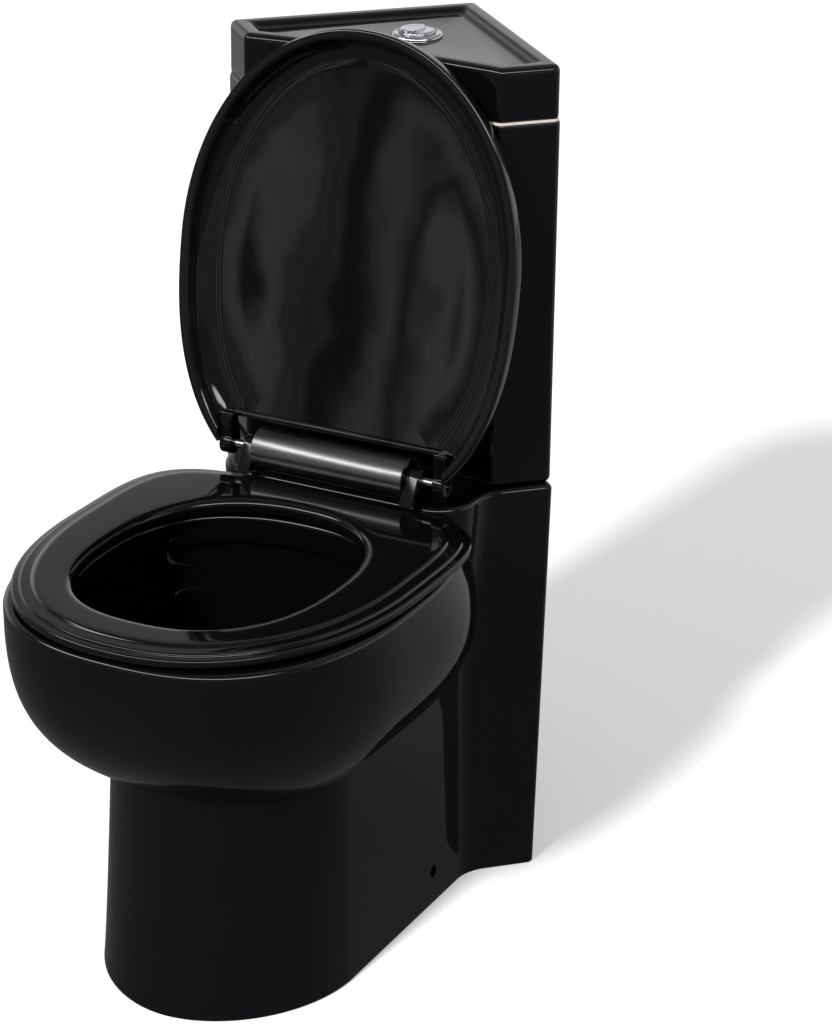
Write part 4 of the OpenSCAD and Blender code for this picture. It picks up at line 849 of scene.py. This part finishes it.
def eye_block(name, outline, low, high, turn):
    """A pierced block: its side view extruded along x, then its edges rounded."""
    deselect()
    bpy.ops.mesh.primitive_circle_add(vertices=len(outline), fill_type="NGON", enter_editmode=True)
    piece = bpy.context.object
    piece.name = name
    for vert, (y, z) in zip(bmesh.from_edit_mesh(piece.data).verts, outline):
        vert.co = Vector((low, y, z)) * MM
    along = {"value": ((high - low) * MM, 0, 0)}
    bpy.ops.mesh.extrude_region_move(TRANSFORM_OT_translate=along)
    bpy.ops.mesh.select_all(action="SELECT")
    bpy.ops.mesh.normals_make_consistent(inside=False)
    round_edges(piece, 1.0, 40)
    combine(piece, rod((low - 5, 0, 0), EYE_R, high - low + 10, "X", 48))
    piece.data.transform(turn)
    return piece


def join(name, pieces):
    """Several pieces as one mesh."""
    deselect()
    for piece in pieces:
        piece.select_set(True)
    bpy.context.view_layer.objects.active = pieces[0]
    bpy.ops.object.join()
    pieces[0].name = name
    return pieces[0]


# glossy moulding: black, with thin lights along its edges
moulding_black = glazed("glossy black moulding", "#08080a", "#0d0d0f", 0.1, 0.0001, 0.00001)
ring_eye = [*arc((0, 0), 11.5, 154.5, -137.7, 34), (-8.5, -18.5), (-23.5, -18.5)]
near, far_end = RING_BLOCK
pair = [eye_block("eye", ring_eye, *span, Matrix.Translation(HINGE))
        for span in ((near, far_end), (-far_end, -near))]
ring_blocks = join("ring_hinge_blocks", pair)
smooth(ring_blocks)
dress(ring_blocks, "seat", "black_moulding", moulding_black, replaces=["ring_hinge_blocks"])
cover_eye = [(-27, 1.2), *arc((0, 0), 10.5, 100, -128, 30), (-27, -12.6)]
near, far_end = COVER_BLOCK
pair = [eye_block("eye", cover_eye, *span, open_turn)
        for span in ((near, far_end), (-far_end, -near))]
cover_blocks = join("cover_hinge_blocks", pair)
smooth(cover_blocks)
dress(cover_blocks, "cover", "black_moulding", moulding_black, replaces=["cover_hinge_blocks"])


# ---------------------------------------------------------------- hinge barrel
# A brushed stainless sleeve over the moulded carrier, with a black cap at each end and a
# bright steel pin through it. It stands on two feet that are bolted down through the deck.
def along_x(name, outline, sides=128):
    """A closed outline of radius and x spun about the hinge axis."""
    piece = spun(name, outline, (0, 0), sides)
    piece.data.transform(Matrix.Rotation(math.pi / 2, 4, "Y"))
    piece.data.transform(Matrix.Translation(HINGE))
    return piece


barrel = along_x("hinge_barrel", [
    (20, -77.6), (20, 77.6), (19.75, 78.2), (19.3, 78.5), (18.8, 78.4), (18.8, -78.4),
    (19.3, -78.5), (19.75, -78.2)])
FOOT_HOLE_R = 7.3
for side in (-1, 1):
    barrel = combine(barrel, rod((side * HINGE_BOLT_X, HINGE_BOLT_Y, 377), FOOT_HOLE_R, 40))
smooth(barrel)
# brushed stainless: fine lines along its length smear the lights into long streaks
brushed = metal("brushed stainless steel", "#98989a", "#7a7a7c", 0.31, 0.25, (0.02, 1, 1),
                0.00001, 2200)
dress(barrel, "china", "brushed_barrel", brushed, replaces=["hinge_barrel"])

caps = [along_x("cap", [(5.05, s * 74.5), (5.05, s * 78), (5.5, s * 78.5), (17.6, s * 78.5),
                        (18.3, s * 78.2), (18.7, s * 77.4), (18.7, s * 74.5)], 96)
        for s in (-1, 1)]
caps = join("hinge_end_caps", caps)
smooth(caps)
dress(caps, "china", "black_moulding", moulding_black, replaces=["hinge_end_caps"])

# drawn steel: bright, with faint marks
drawn = metal("drawn stainless steel", "#c4c4c6", "#a9a9ac", 0.2, 0.3, (1, 1, 1), 0.0, 400)
pins = [along_x("pin", [(0, s * 61.5), (4.2, s * 61.5), (5, s * 62.3), (5, s * 113.4),
                        (4.1, s * 114.3), (0, s * 114.3)], 48) for s in (-1, 1)]
pins = join("hinge_pins", pins)
smooth(pins)
dress(pins, "china", "bright_steel", drawn, replaces=["hinge_pins"])


# ---------------------------------------------------------------- hidden hardware
# The flush valve, the fill valve, their levers and the fixings are turned, moulded or
# pressed as the CAD has them. Each kind gets the finish of its own material.
def moulded(name, dark, pale, roughness, grain):
    """A moulded skin: even colour with a faint flow pattern and a fine spark grain."""
    made, tree, place = skin_for(name)
    flow = add(tree, "ShaderNodeTexNoise", {"Scale": 45.0, "Detail": 3.0}, {"Vector": place})
    spark = add(tree, "ShaderNodeTexNoise", {"Scale": 1500.0, "Detail": 2.0}, {"Vector": place})
    tone = add(tree, "ShaderNodeMix", {"data_type": "RGBA", 6: linear(dark), 7: linear(pale)},
               {0: flow.outputs["Fac"]})
    shine = add(tree, "ShaderNodeMapRange", {
        "To Min": roughness * 0.85, "To Max": roughness * 1.15}, {"Value": flow.outputs["Fac"]})
    rub = add(tree, "ShaderNodeBump", {"Distance": grain}, {"Height": spark.outputs["Fac"]})
    return wear(made, tone, rub, shine)


# moulded valve plastics: milky white, blue, red and grey, all with a dull shine
white_pom = moulded("white moulded acetal", "#dcdcd6", "#ebebe6", 0.38, 0.00003)
blue_abs = moulded("blue moulded ABS", "#3a65b0", "#4672bf", 0.36, 0.00003)
red_abs = moulded("red moulded ABS", "#c93c33", "#d84c40", 0.36, 0.00003)
grey_abs = moulded("grey moulded nylon", "#53535a", "#606067", 0.42, 0.00003)
# rubber: matt, with a trace of bloom
black_rubber = moulded("black moulded rubber", "#171717", "#232323", 0.75, 0.00006)
red_rubber = moulded("red silicone rubber", "#9a2f26", "#ab3a2f", 0.6, 0.00004)
# turned brass and wound spring wire
turned_brass = metal("turned brass", "#d8bd73", "#b89a52", 0.3, 0.3, (1, 1, 40), 0.00001, 120)
spring_wire = metal("wound spring steel", "#a6a6a9", "#88888c", 0.3, 0.3, (1, 1, 30), 0.00005, 90)

finish_of = {
    "black_moulding": moulding_black, "bright_steel": drawn, "white_valve_plastic": white_pom,
    "blue_valve_plastic": blue_abs, "red_valve_plastic": red_abs, "grey_valve_plastic": grey_abs,
    "black_rubber": black_rubber, "red_rubber": red_rubber, "brass": turned_brass,
}
for node in frame["nodes"].values():
    for index, material in enumerate(node.data.materials):
        for key_word, finish in finish_of.items():
            if key_word in material.name:
                node.data.materials[index] = finish


# ---------------------------------------------------------------- button springs
# Two small coils of spring steel, one round each push rod. They stand on the guide under the tray
# and hold the buttons up.
def coil(name, low, high, wire=0.45, turns=7, sides=10, parts=18):
    """A wire wound up between the two corners of a box, as one unbroken tube."""
    middle, length = (low + high) / 2 / MM, (high.z - low.z) / MM
    coil_r = (high.x - low.x) / 2 / MM - wire
    climb = (length - 2 * wire) / (turns * parts)
    rings = []
    for step in range(turns * parts + 1):
        turn = 2 * math.pi * step / parts
        rings.append([(middle.x + (coil_r + wire * math.cos(a)) * math.cos(turn),
                       middle.y + (coil_r + wire * math.cos(a)) * math.sin(turn),
                       low.z / MM + wire + climb * step + wire * math.sin(a))
                      for a in np.radians(np.arange(sides) * 360 / sides)])
    return rings_up(name, rings)


for side in ("full", "half"):
    low, high = (Vector(corner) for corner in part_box(side + "_button_spring"))
    spring = coil(side + "_button_coil", low, high)
    smooth(spring, 60)
    dress(spring, "china", "bright_steel", spring_wire, replaces=[side + "_button_spring"])
    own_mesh(spring)
